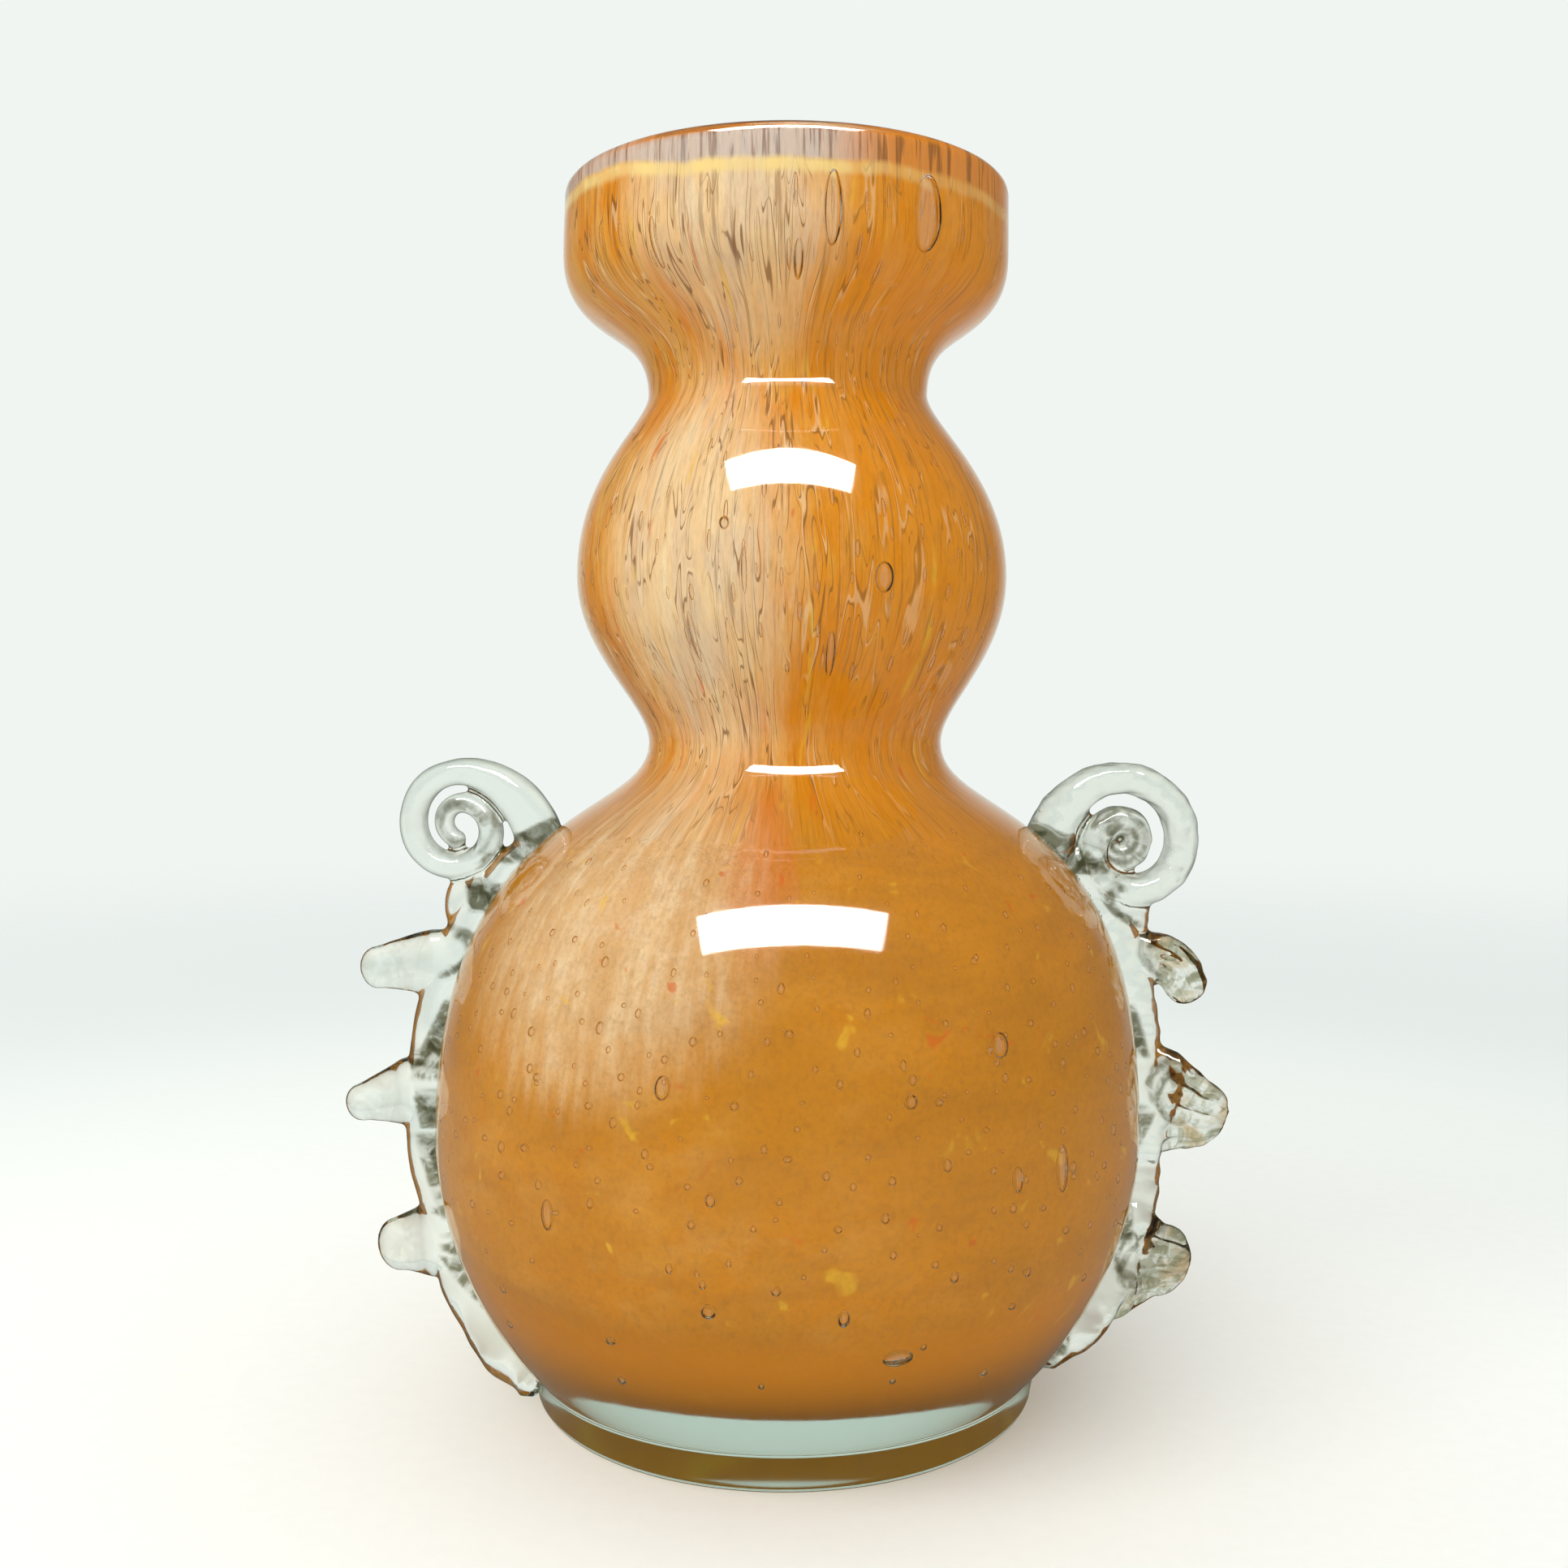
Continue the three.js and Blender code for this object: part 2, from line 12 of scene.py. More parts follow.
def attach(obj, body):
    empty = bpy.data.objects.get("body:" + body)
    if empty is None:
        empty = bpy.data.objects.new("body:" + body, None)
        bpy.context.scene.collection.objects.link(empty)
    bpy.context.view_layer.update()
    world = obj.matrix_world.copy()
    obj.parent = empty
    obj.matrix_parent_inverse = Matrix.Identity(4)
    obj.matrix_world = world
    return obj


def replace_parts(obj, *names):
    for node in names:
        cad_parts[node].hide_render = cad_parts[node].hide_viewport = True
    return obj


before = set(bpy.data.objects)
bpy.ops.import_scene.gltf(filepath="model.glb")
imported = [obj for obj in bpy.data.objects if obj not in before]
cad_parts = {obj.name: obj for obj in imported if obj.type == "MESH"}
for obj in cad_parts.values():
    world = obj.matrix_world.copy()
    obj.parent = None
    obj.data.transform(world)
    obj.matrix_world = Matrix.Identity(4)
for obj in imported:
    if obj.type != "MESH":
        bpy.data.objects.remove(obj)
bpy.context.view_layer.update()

MM = 0.001

# The body's outline, from the top of its short upright foot: height, radius, sideways drift of the
# axis, and how far the outline stays upright below and above each station, as a share of the section
HEIGHT = 220.0
LIP_RISE = 2.2
LIP_JOINT = 0.05
STATIONS = [
    {"z": 7.5, "r": 47.0, "drift": 0.0},
    {"z": 50.2, "r": 64.5, "drift": 0.6, "below": 0.54, "above": 0.87},
    {"z": 120.4, "r": 26.9, "drift": 2.0, "below": 0.21, "above": 0.23},
    {"z": 150.3, "r": 39.2, "drift": 1.4, "below": 0.48, "above": 0.56},
    {"z": 183.4, "r": 25.4, "drift": 0.7, "below": 0.17, "above": 0.57},
    {"z": 207.2, "r": 40.2, "drift": 0.35, "below": 0.58, "above": 0.5},
    {"z": HEIGHT - LIP_RISE, "r": 40.0, "drift": 0.5, "below": 0.3},
]
GLOBE_RISE = 50.2
GLOBE_SPAN = 62.0
RESTING_RADIUS = 43.4
HEEL = (46.0, 2.2)
FOOT_TOP = (47.0, 7.5)
FOOT_FLARE = 4.0
FOOT_FLARE_ANGLE = math.radians(45)
FOOT_STEPS = 6

# The wall, inwards: clear casing, orange layer, clear gather
WALL = 5.4
COLOUR_DEPTH = 2.75
COLOUR_WALL = 1.1
COLOUR_FLOOR = 15.2
COLOUR_TOP = 219.2
BORE_FLOOR = 19.1
FLOOR_REACH = 30.0
FLOOR_JOINT = 0.75
FLOOR_PULL = 0.5

SEGMENTS = 192
FINE_STEPS = 120
WALL_STEPS = 26
FLOOR_STEPS = 16
ARC_STEPS = 8


def blend(a, b, share):
    return a + (b - a) * share


def ease(value, low, high):
    """Goes smoothly from 0 to 1 as value goes from low to high."""
    share = np.clip((value - low) / (high - low), 0, 1)
    return share * share * (3 - 2 * share)


def bezier(corners, t):
    """Points and unit directions of a cubic curve."""
    a, b, c, d = (np.array(corner, float) for corner in corners)
    t = np.asarray(t, float)[:, None]
    s = 1 - t
    points = s**3 * a + 3 * s**2 * t * b + 3 * s * t**2 * c + t**3 * d
    along = s**2 * (b - a) + 2 * s * t * (c - b) + t**2 * (d - c)
    return points, along / np.linalg.norm(along, axis=1, keepdims=True)


def outline_sections():
    """The four corners of the curve of each section of the outer outline."""
    sections = []
    for low, high in zip(STATIONS, STATIONS[1:]):
        rise = high["z"] - low["z"]
        leave = (low["r"], low["z"] + low.get("above", 0) * rise)
        if low is STATIONS[0]:
            across = FOOT_FLARE * math.cos(FOOT_FLARE_ANGLE)
            leave = (low["r"] + across, low["z"] + FOOT_FLARE * math.sin(FOOT_FLARE_ANGLE))
        arrive = (high["r"], high["z"] - high["below"] * rise)
        sections.append(((low["r"], low["z"]), leave, arrive, (high["r"], high["z"])))
    return sections


SECTIONS = outline_sections()


def section_line(index, depth, first, steps):
    """Part of a section from t = first up, moved inwards by a depth."""
    points, along = bezier(SECTIONS[index], np.linspace(first, 1, steps + 1))
    return points + depth * np.column_stack([-along[:, 1], along[:, 0]])


def wall_line(depth, first=0.0):
    """The wall's outline at a depth, from t = first of the lowest section up to the lip."""
    lines = [section_line(0, depth, first, WALL_STEPS)]
    lines += [section_line(i, depth, 0, WALL_STEPS)[1:] for i in range(1, len(SECTIONS))]
    return np.vstack(lines)


def layer_line(depth, floor):
    """A surface inside the wall, from the axis over its bowl-shaped floor and up."""
    wall = wall_line(depth, FLOOR_JOINT)
    _, along = bezier(SECTIONS[0], [FLOOR_JOINT])
    pull = (wall[0][1] - floor) * FLOOR_PULL
    corners = ((0, floor), (FLOOR_REACH, floor), wall[0] - along[0] * pull, wall[0])
    bowl, _ = bezier(corners, np.linspace(0, 1, FLOOR_STEPS + 1))
    return np.vstack([bowl[:-1], wall])


def drift_at(z):
    """How far the axis has drifted sideways at each height."""
    z = np.asarray(z, float)
    drift = np.full(z.shape, STATIONS[-1]["drift"])
    for low, high in reversed(list(zip(STATIONS, STATIONS[1:]))):
        here = blend(low["drift"], high["drift"], ease(z, low["z"], high["z"]))
        drift = np.where(z <= high["z"], here, drift)
    return drift


def straight(start, end):
    """The corners of a straight curve."""
    start, end = np.array(start), np.array(end)
    return start, start + (end - start) / 3, end - (end - start) / 3, end


def fine_wall():
    """The outer outline in fine steps: points, outward directions and lengths along it."""
    foot = straight(HEEL, FOOT_TOP)
    parts = [bezier(corners, np.linspace(0, 1, FINE_STEPS + 1)[:-1]) for corners in [foot, *SECTIONS]]
    points = np.vstack([part[0] for part in parts])
    along = np.vstack([part[1] for part in parts])
    outward = np.column_stack([along[:, 1], -along[:, 0]])
    lengths = np.concatenate([[0], np.cumsum(np.linalg.norm(np.diff(points, axis=0), axis=1))])
    return points, outward, lengths


FINE_POINTS, FINE_OUTWARD, FINE_LENGTHS = fine_wall()


def length_at(z):
    """The length along the outline at a height."""
    return np.interp(z, FINE_POINTS[:, 1], FINE_LENGTHS)


def in_the_wall(angle, length, depth):
    """Points in the wall, from the angle round it, the length up it and the depth in it."""
    radius = np.interp(length, FINE_LENGTHS, FINE_POINTS[:, 0])
    height = np.interp(length, FINE_LENGTHS, FINE_POINTS[:, 1])
    radius = radius - depth * np.interp(length, FINE_LENGTHS, FINE_OUTWARD[:, 0])
    z = height - depth * np.interp(length, FINE_LENGTHS, FINE_OUTWARD[:, 1])
    return np.column_stack([radius * np.sin(angle) + drift_at(height), -radius * np.cos(angle), z])


def placed(name, data):
    """A new object in the scene."""
    thing = bpy.data.objects.new(name, data)
    bpy.context.scene.collection.objects.link(thing)
    return thing


def make_piece(name, points, faces, slot, normals=None):
    """A smooth-shaded piece of the vase from points in millimetres."""
    mesh = bpy.data.meshes.new(name)
    mesh.from_pydata((np.asarray(points) * MM).tolist(), [], faces)
    mesh.polygons.foreach_set("use_smooth", np.ones(len(mesh.polygons), bool))
    mesh.update()
    if normals is not None:
        mesh.normals_split_custom_set_from_vertices(normals)
    piece = placed(name, mesh)
    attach(piece, "root")
    return piece


def ring_faces(rings, sides):
    """Faces of a closed body of rings, whose first and last centres follow the rings' points."""
    first, last = rings * sides, (rings - 1) * sides
    faces = []
    for i in range(sides):
        j = (i + 1) % sides
        faces.append((first, j, i))
        faces.append((first + 1, last + i, last + j))
        for ring in range(0, last, sides):
            faces.append((ring + i, ring + j, ring + j + sides, ring + i + sides))
    return faces


def together(bodies):
    """The points and faces of several bodies as one."""
    points, faces, start = [], [], 0
    for body_points, body_faces in bodies:
        faces += [tuple(start + i for i in face) for face in body_faces]
        points.append(body_points)
        start += len(body_points)
    return np.vstack(points), faces


def turned(name, profile, slot):
    """Turns a profile that starts and ends on the axis, and drifts it sideways."""
    angles = np.arange(SEGMENTS) * (2 * math.pi / SEGMENTS)
    inner = profile[1:-1]
    rings = np.empty((len(inner), SEGMENTS, 3))
    rings[:, :, 0] = inner[:, :1] * np.cos(angles) + drift_at(inner[:, 1])[:, None]
    rings[:, :, 1] = inner[:, :1] * np.sin(angles)
    rings[:, :, 2] = inner[:, 1:]
    ends = [[drift_at(z), 0, z] for z in (profile[0][1], profile[-1][1])]
    points = np.vstack([rings.reshape(-1, 3), ends])
    return make_piece(name, points, ring_faces(len(inner), SEGMENTS), slot)


def arc(centre, across, up, first, last):
    """Points of an ellipse between two angles, without the first."""
    angles = np.radians(np.linspace(first, last, ARC_STEPS + 1)[1:])
    return np.column_stack([centre[0] + across * np.cos(angles), centre[1] + up * np.sin(angles)])


def glass_body():
    """The clear glass of the whole wall, with its thick base, fire-polished lip and bore."""
    outside = wall_line(0)
    bore = layer_line(WALL, BORE_FLOOR)
    resting = np.array([[0, 0], [RESTING_RADIUS - 1, 0], [RESTING_RADIUS, 0]])
    heel = arc((RESTING_RADIUS, HEEL[1]), HEEL[0] - RESTING_RADIUS, HEEL[1], -90, 0)
    foot, _ = bezier(straight(HEEL, FOOT_TOP), np.linspace(0, 1, FOOT_STEPS + 1)[1:-1])
    rim = outside[-1]
    half = (rim[0] - bore[-1][0]) / 2
    lip = arc((rim[0] - half, rim[1]), half, LIP_RISE, 0, 180)
    inside = bore[bore[:, 1] < rim[1] - LIP_JOINT][::-1]
    return turned("glass_body", np.vstack([resting, heel, foot, outside, lip, inside]), "clear_glass")


def orange_layer():
    """The orange layer, closed and wholly inside the clear glass."""
    outside = layer_line(COLOUR_DEPTH, COLOUR_FLOOR)
    inside = layer_line(COLOUR_DEPTH + COLOUR_WALL, COLOUR_FLOOR + COLOUR_WALL)
    outside = outside[outside[:, 1] < COLOUR_TOP - COLOUR_WALL]
    inside = inside[inside[:, 1] < COLOUR_TOP - COLOUR_WALL][::-1]
    middle = ((outside[-1][0] + inside[0][0]) / 2, COLOUR_TOP - COLOUR_WALL)
    top = arc(middle, COLOUR_WALL / 2, COLOUR_WALL / 2, 0, 180)
    return turned("orange_layer", np.vstack([outside, top, inside]), "orange_glass")


# Trapped air. Each larger bubble has its angle round from the front, its height, length and width,
# and each row of seeds its height, number of places, usual size and usual stretch
LARGE_BUBBLES = [
    (-18, 70, 4.0, 2.8),
    (17, 68, 2.6, 2.3),
    (32, 75, 4.3, 3.4),
    (43, 54, 7.8, 3.0),
    (34, 54, 4.3, 2.1),
    (-36, 48, 5.2, 2.6),
    (-11, 36, 2.6, 2.6),
    (8, 35, 3.2, 2.1),
    (17, 27, 3.2, 5.2),
    (-17, 157, 2.4, 1.9),
    (23, 148, 5.4, 3.6),
    (10, 135, 9.0, 1.9),
    (-12, 149, 8.0, 1.1),
    (-28, 138, 9.5, 1.2),
    (11, 206, 12.5, 3.2),
    (3, 198, 8.0, 1.8),
    (-34, 202, 9.5, 1.5),
    (36, 207, 13.0, 6.0),
    (118, 66, 6.0, 3.0),
    (160, 45, 4.0, 3.4),
    (205, 78, 3.6, 2.6),
    (232, 34, 5.0, 2.8),
    (150, 145, 8.5, 2.0),
    (215, 152, 5.0, 3.0),
    (128, 205, 10.0, 2.6),
    (196, 200, 12.0, 2.2),
    (255, 207, 9.0, 1.8),
]
SEED_ROWS = [
    (22, 22, 1.6, 1.0),
    (30, 28, 1.7, 1.0),
    (38, 36, 1.6, 1.0),
    (44, 58, 1.5, 1.0),
    (50, 64, 1.6, 1.0),
    (56, 70, 1.7, 1.0),
    (61, 75, 1.4, 1.0),
    (66, 81, 1.5, 1.0),
    (71, 84, 1.4, 1.0),
    (76, 84, 1.4, 1.1),
    (81, 78, 1.2, 1.1),
    (86, 70, 1.2, 1.2),
    (91, 58, 1.1, 1.3),
    (96, 46, 1.1, 1.4),
    (101, 38, 1.0, 1.4),
    (107, 18, 0.9, 1.6),
    (128, 24, 0.8, 3.2),
    (134, 34, 0.9, 3.2),
    (140, 38, 0.9, 3.4),
    (147, 40, 1.0, 3.4),
    (154, 40, 0.9, 3.8),
    (161, 34, 0.9, 4.2),
    (169, 24, 0.7, 5.0),
    (190, 24, 0.7, 5.5),
    (198, 38, 0.8, 6.0),
    (207, 42, 0.8, 6.0),
]
AIR_CLEARANCE = 0.25
AIR_SEED = 41
EMPTY_PLACES = 0.22
SEED_SCATTER = 0.42
SEED_SIZES = (0.55, 1.15)
SEED_STRETCHES = (0.75, 1.35)
ROW_SPREAD = 2.6
LARGE_BALL = (20, 18)
SEED_BALL = (10, 10)


def unit_ball(rings, sides):
    """Points and faces of a ball of radius 1 whose poles lie along the second coordinate."""
    points = []
    for ring in range(1, rings):
        fall = math.pi * ring / rings
        lift, reach = -math.cos(fall), math.sin(fall)
        turns = [2 * math.pi * i / sides for i in range(sides)]
        points += [(reach * math.cos(turn), lift, reach * math.sin(turn)) for turn in turns]
    points += [(0.0, -1.0, 0.0), (0.0, 1.0, 0.0)]
    faces = [(face[0], *face[:0:-1]) for face in ring_faces(rings - 1, sides)]
    return np.array(points), faces


def bubble(angle, z, length, width, rings, sides):
    """A bubble drawn out along the wall and bent with it, flattened to fit in the clear casing."""
    ball, faces = unit_ball(rings, sides)
    room = (COLOUR_DEPTH - 2 * AIR_CLEARANCE) / 2
    half_depth = min(width / 2, room)
    centre = length_at(z)
    radius = float(np.interp(z, FINE_POINTS[:, 1], FINE_POINTS[:, 0]))
    angles = angle + ball[:, 0] * (width / 2) / radius
    lengths = centre + ball[:, 1] * length / 2
    depths = COLOUR_DEPTH - AIR_CLEARANCE - half_depth - ball[:, 2] * half_depth
    return in_the_wall(angles, lengths, depths), faces


def trapped_air():
    """Every seed and bubble in the casing, as one piece."""
    chance = random.Random(AIR_SEED)
    made = [
        bubble(math.radians(angle), z, length, width, *LARGE_BALL)
        for angle, z, length, width in LARGE_BUBBLES
    ]
    for z, count, usual_size, usual_stretch in SEED_ROWS:
        for i in range(count):
            if chance.random() < EMPTY_PLACES:
                continue
            turn = (i + chance.uniform(-SEED_SCATTER, SEED_SCATTER)) * 2 * math.pi / count
            size = usual_size * chance.uniform(*SEED_SIZES)
            stretch = usual_stretch * chance.uniform(*SEED_STRETCHES)
            height = z + chance.uniform(-ROW_SPREAD, ROW_SPREAD)
            made.append(bubble(turn, height, size * stretch, size, *SEED_BALL))
    return make_piece("trapped_air", *together(made), "clear_glass")


# Trails. Heights are measured up from the globe's widest line. A strap's rows hold its height, how far
# it stands off the wall, its width, and how far it swings to the front. Waves hold the size, depth and
# stretch of the uneven surface. Pockets, creases and rings are painted shade, where the shading darkens
# the glass in the recesses by the wall and round the scroll: pockets hold two heights and how far out
# each reaches, creases a height, a distance out and a size, and rings a size and a strength.
STAND_OFF, WIDTH, SWING = 1, 2, 3
STRAP_BED = 2.2
FIN_BED = 3.0
STRAP_SIDES = 40
STRAP_STEPS = 90
SCROLL_SIDES = 36
SCROLL_STEP_ANGLE = 4
FIN_STEPS = 26
PLAIN_FIN_SIDES = 48
SIDES_PER_RIDGE = 16
RIDGE_DEPTH = 0.28
CAP_STEPS = 9
CAP_SHORT = 0.3
SQUARENESS = 2.5
VOXEL = 0.42
SMOOTHING = (0.5, 7)
SWELL = 0.8
CONTACT = 0.05
NEAR_WALL = 3
CHUNK = 4000
FOOT_CLEARANCE = 0.1
FIN_ROOT = 8.4
FIN_FACE = 0.44
LONGEST_ROOT = 0.6
ROOT_POWER = 1.7
TWISTS_FROM_TO = (0.1, 0.8)
RIDGES_FROM_TO = (0.02, 0.35)
ROD_SETTLES = 40

# A fin's row holds these. Its end is the length of its round end, and waist says how fast it narrows.
FIN = ("height", "reach", "root", "tip", "end", "waist", "droop", "curl", "thick", "twist", "ridges")

LEFT_TRAIL = {
    "name": "left_trail_glass",
    "node": "left_trail",
    "side": -1,
    "strap": [
        (-47.4, 1.6, 4.2, 11.4),
        (-45.0, 4.6, 7.2, 10.8),
        (-39.5, 7.2, 9.2, 8.6),
        (-30.0, 7.2, 8.6, 5.4),
        (-18.0, 5.6, 9.4, 3.0),
        (-6.5, 6.8, 7.0, 1.4),
        (6.0, 6.8, 9.2, 0.6),
        (16.5, 6.8, 6.8, 0),
        (27.0, 6.4, 8.6, 0),
        (36.0, 5.6, 8.2, 0),
        (46.0, 4.2, 8.0, 0),
        (54.5, 3.0, 7.0, 0),
    ],
    "saddle": (39.6, 8.4, 15.0, 11.0, 2.6, 1, 0, 0, 7.0, 0, 0),
    "fins": [
        (29.4, 19.8, 13.0, 8.4, 3.6, 1.1, 2, 6, 4.4, 0, 0),
        (6.4, 18.8, 13.2, 7.4, 3.6, 1.0, 10, 6, 4.4, 0, 0),
        (-21.2, 15.8, 14.4, 10.6, 4.4, 1.0, 6, 6, 4.8, 0, 0),
    ],
    "scroll": {
        "seat": 53.5, "out": 16.8, "up": 1.9, "radius": 9.3, "inner_radius": 3.5, "flare": 6.4,
        "rod_start": 9.4, "rod": 5.2, "rod_end": 3.8, "depth": 9.0, "depth_end": 6.0,
        "from": -22, "joins": 70, "winds": 200, "wound": 430, "to": 610,
    },
    "waves": [(7.0, 0.3, 1.6), (3.2, 0.16, 1.3)],
    "pockets": [
        (48, 56, 6.0, 2.5),
        (39, 44, 2.5, 5.5),
        (8, 23, 5.6, 1.2),
        (-1, 5, 3.2, 4.6),
        (-17, -3, 1.6, 4.4),
        (-33, -24, 1.0, 4.2),
    ],
    "creases": [(31, 3.2, 3.6), (-19, 3.0, 3.4)],
    "rings": [(6.3, 0.5), (3.6, 0.7), (1.2, 0.8)],
}

RIGHT_TRAIL = {
    "name": "right_trail_glass",
    "node": "right_trail",
    "side": 1,
    "strap": [
        (-44.9, 1.8, 3.4, 5.0),
        (-42.2, 5.2, 6.6, 4.8),
        (-36.0, 8.0, 9.0, 4.0),
        (-28.0, 8.0, 8.6, 3.0),
        (-14.0, 6.8, 9.4, 2.0),
        (-7.0, 6.0, 7.0, 1.4),
        (4.0, 6.0, 9.4, 1.0),
        (14.0, 6.0, 6.8, 0.6),
        (25.0, 6.2, 8.8, 0),
        (35.0, 5.6, 8.4, 0),
        (45.0, 4.4, 8.2, 0),
        (53.0, 3.0, 7.0, 0),
    ],
    "saddle": (38.4, 10.0, 16.0, 10.0, 3.2, 1, 0, 0, 7.0, 0, 0),
    "fins": [
        (29.4, 19.4, 11.0, 9.2, 4.4, 1, -4, 70, 5.6, 24, 4),
        (3.8, 18.4, 23.4, 15.6, 6.4, 0.8, 11, 6, 5.2, 20, 5),
        (-25.8, 17.6, 25.0, 17.0, 6.2, 0.8, 2, 2, 5.2, 18, 5),
    ],
    "scroll": {
        "seat": 52.0, "out": 14.3, "up": 0.2, "radius": 11.3, "inner_radius": 3.4, "flare": 3.2,
        "rod_start": 9.6, "rod": 6.4, "rod_end": 5.8, "depth": 10.0, "depth_end": 6.4,
        "from": -22, "joins": 60, "winds": 200, "wound": 420, "to": 690,
    },
    "waves": [(6.0, 0.4, 1.2), (2.6, 0.3, 0.8)],
    "pockets": [
        (46, 54, 5.5, 3.0),
        (12, 22, 3.0, 1.2),
        (-4, 2, 1.0, 3.6),
        (-22, -14, 3.6, 1.0),
        (-45, -38, 4.5, 2.0),
    ],
    "creases": [(30, 8.4, 3.2), (5, 9.6, 5.6), (-25, 9.2, 5.6), (40, 6.0, 3.4)],
    "rings": [(7.4, 0.3), (4.2, 0.7), (2.4, 0.9), (0.8, 0.7)],
}

FRONT = np.array([0.0, -1.0, 0.0])
UPRIGHT = np.array([0.0, 0.0, 1.0])


def spun(vector, axis, angle):
    """A vector turned about a unit axis."""
    cos, sin = math.cos(angle), math.sin(angle)
    return vector * cos + np.cross(axis, vector) * sin + axis * np.dot(axis, vector) * (1 - cos)


def wall_at(z, side):
    """The outer wall's point and outward direction at a height, in the XZ plane. The foot lends the
    direction of the wall above it, so that no two rings of a strap cross there."""
    radius = np.interp(z, FINE_POINTS[:, 1], FINE_POINTS[:, 0])
    turn_at = max(z, FOOT_TOP[1] + FOOT_CLEARANCE)
    out = [np.interp(turn_at, FINE_POINTS[:, 1], FINE_OUTWARD[:, i]) for i in (0, 1)]
    return np.array([side * radius + float(drift_at(z)), 0, z]), np.array([side * out[0], 0, out[1]])


def strap_value(strap, column, height):
    """Reads a column of the strap's rows at a height, smoothly."""
    i = 0
    while i < len(strap) - 2 and height > strap[i + 1][0]:
        i += 1
    low, high = strap[i], strap[i + 1]
    return blend(low[column], high[column], ease(height, low[0], high[0]))


def loft(stations, sides):
    """A closed body through rings that are square to a path. A station is its centre, the directions
    of its width and thickness, half of each, and the number of ridges on its faces."""
    angles = np.arange(sides) * (2 * math.pi / sides)
    cos, sin = np.cos(angles), np.sin(angles)
    u = np.sign(cos) * np.abs(cos) ** (2 / SQUARENESS)
    v = np.sign(sin) * np.abs(sin) ** (2 / SQUARENESS)
    points = []
    for centre, across, through, half_across, half_through, ridges, depth in stations:
        ripple = 1 - depth * (0.5 - 0.5 * np.cos(u * ridges * math.pi)) if ridges else 1
        ring = np.outer(u * half_across, across) + np.outer(v * ripple * half_through, through)
        points.append(centre + ring)
    points += [[stations[0][0]], [stations[-1][0]]]
    return np.vstack(points), ring_faces(len(stations), sides)


def with_round_end(stations, along, length):
    """Shrinks more rings to a round end past the last station."""
    centre, across, through, half_across, half_through, ridges, depth = stations[-1]
    rounded = list(stations)
    for step in range(1, CAP_STEPS + 1):
        angle = step / (CAP_STEPS + CAP_SHORT) * math.pi / 2
        shrink = math.cos(angle)
        place = centre + along * length * math.sin(angle)
        rounded.append((place, across, through, half_across * shrink, half_through * shrink, ridges, depth))
    return rounded


def strap_loft(trail):
    """The strap lies along the wall, bedded a little into it."""
    side, strap = trail["side"], trail["strap"]
    stations = []
    for height in np.linspace(strap[0][0], strap[-1][0], STRAP_STEPS + 1):
        point, outward = wall_at(GLOBE_RISE + height, side)
        stand_off = strap_value(strap, STAND_OFF, height)
        turn = -side * math.asin(strap_value(strap, SWING, height) / abs(point[0]))
        centre = spun(point + outward * (stand_off - STRAP_BED) / 2, UPRIGHT, turn)
        through = spun(FRONT, UPRIGHT, turn) * -side
        half_width = strap_value(strap, WIDTH, height) / 2
        half_across = (stand_off + STRAP_BED) / 2
        across = spun(outward, UPRIGHT, turn)
        stations.append((centre, across, through, half_across, half_width, 0, 0))
    return loft(stations, STRAP_SIDES)


def fin_loft(trail, row):
    """A fin is drawn out of the strap by a pinch: a flat tab with a wide foot and a round end."""
    side, strap, fin = trail["side"], trail["strap"], dict(zip(FIN, row))
    point, _ = wall_at(GLOBE_RISE + fin["height"], side)
    foot = strap_value(strap, STAND_OFF, fin["height"])
    centre = point + FRONT * strap_value(strap, SWING, fin["height"])
    centre[0] -= side * FIN_BED
    shaft = fin["reach"] + FIN_BED - fin["end"]
    leaves = min((foot + FIN_BED) / shaft, LONGEST_ROOT)
    stations = []
    for step in range(FIN_STEPS + 1):
        share = step / FIN_STEPS
        free = min(max((share - leaves) / (1 - leaves), 0), 1)
        fall = math.radians(fin["droop"] + fin["curl"] * free)
        along = np.array([side * math.cos(fall), 0, -math.sin(fall)])
        if step:
            centre = centre + along * shaft / FIN_STEPS
        turn = math.radians(fin["twist"] * ease(share, *TWISTS_FROM_TO))
        upward = np.array([side * math.sin(fall), 0, math.cos(fall)]) * side
        narrowing = (1 - free) ** fin["waist"]
        half_across = blend(fin["tip"], fin["root"], narrowing) / 2
        half_through = blend(fin["thick"] * FIN_FACE, FIN_ROOT / 2, narrowing**ROOT_POWER)
        depth = RIDGE_DEPTH * ease(free, *RIDGES_FROM_TO)
        across, through = spun(upward, along, turn), spun(FRONT, along, turn)
        stations.append((centre, across, through, half_across, half_through, fin["ridges"], depth))
    sides = SIDES_PER_RIDGE * fin["ridges"] or PLAIN_FIN_SIDES
    return loft(with_round_end(stations, along, fin["end"]), sides)


def scroll_hub(trail):
    """The point that a trail's scroll winds round."""
    seat, _ = wall_at(GLOBE_RISE + trail["scroll"]["seat"], trail["side"])
    return seat + np.array([trail["side"] * trail["scroll"]["out"], 0, trail["scroll"]["up"]])


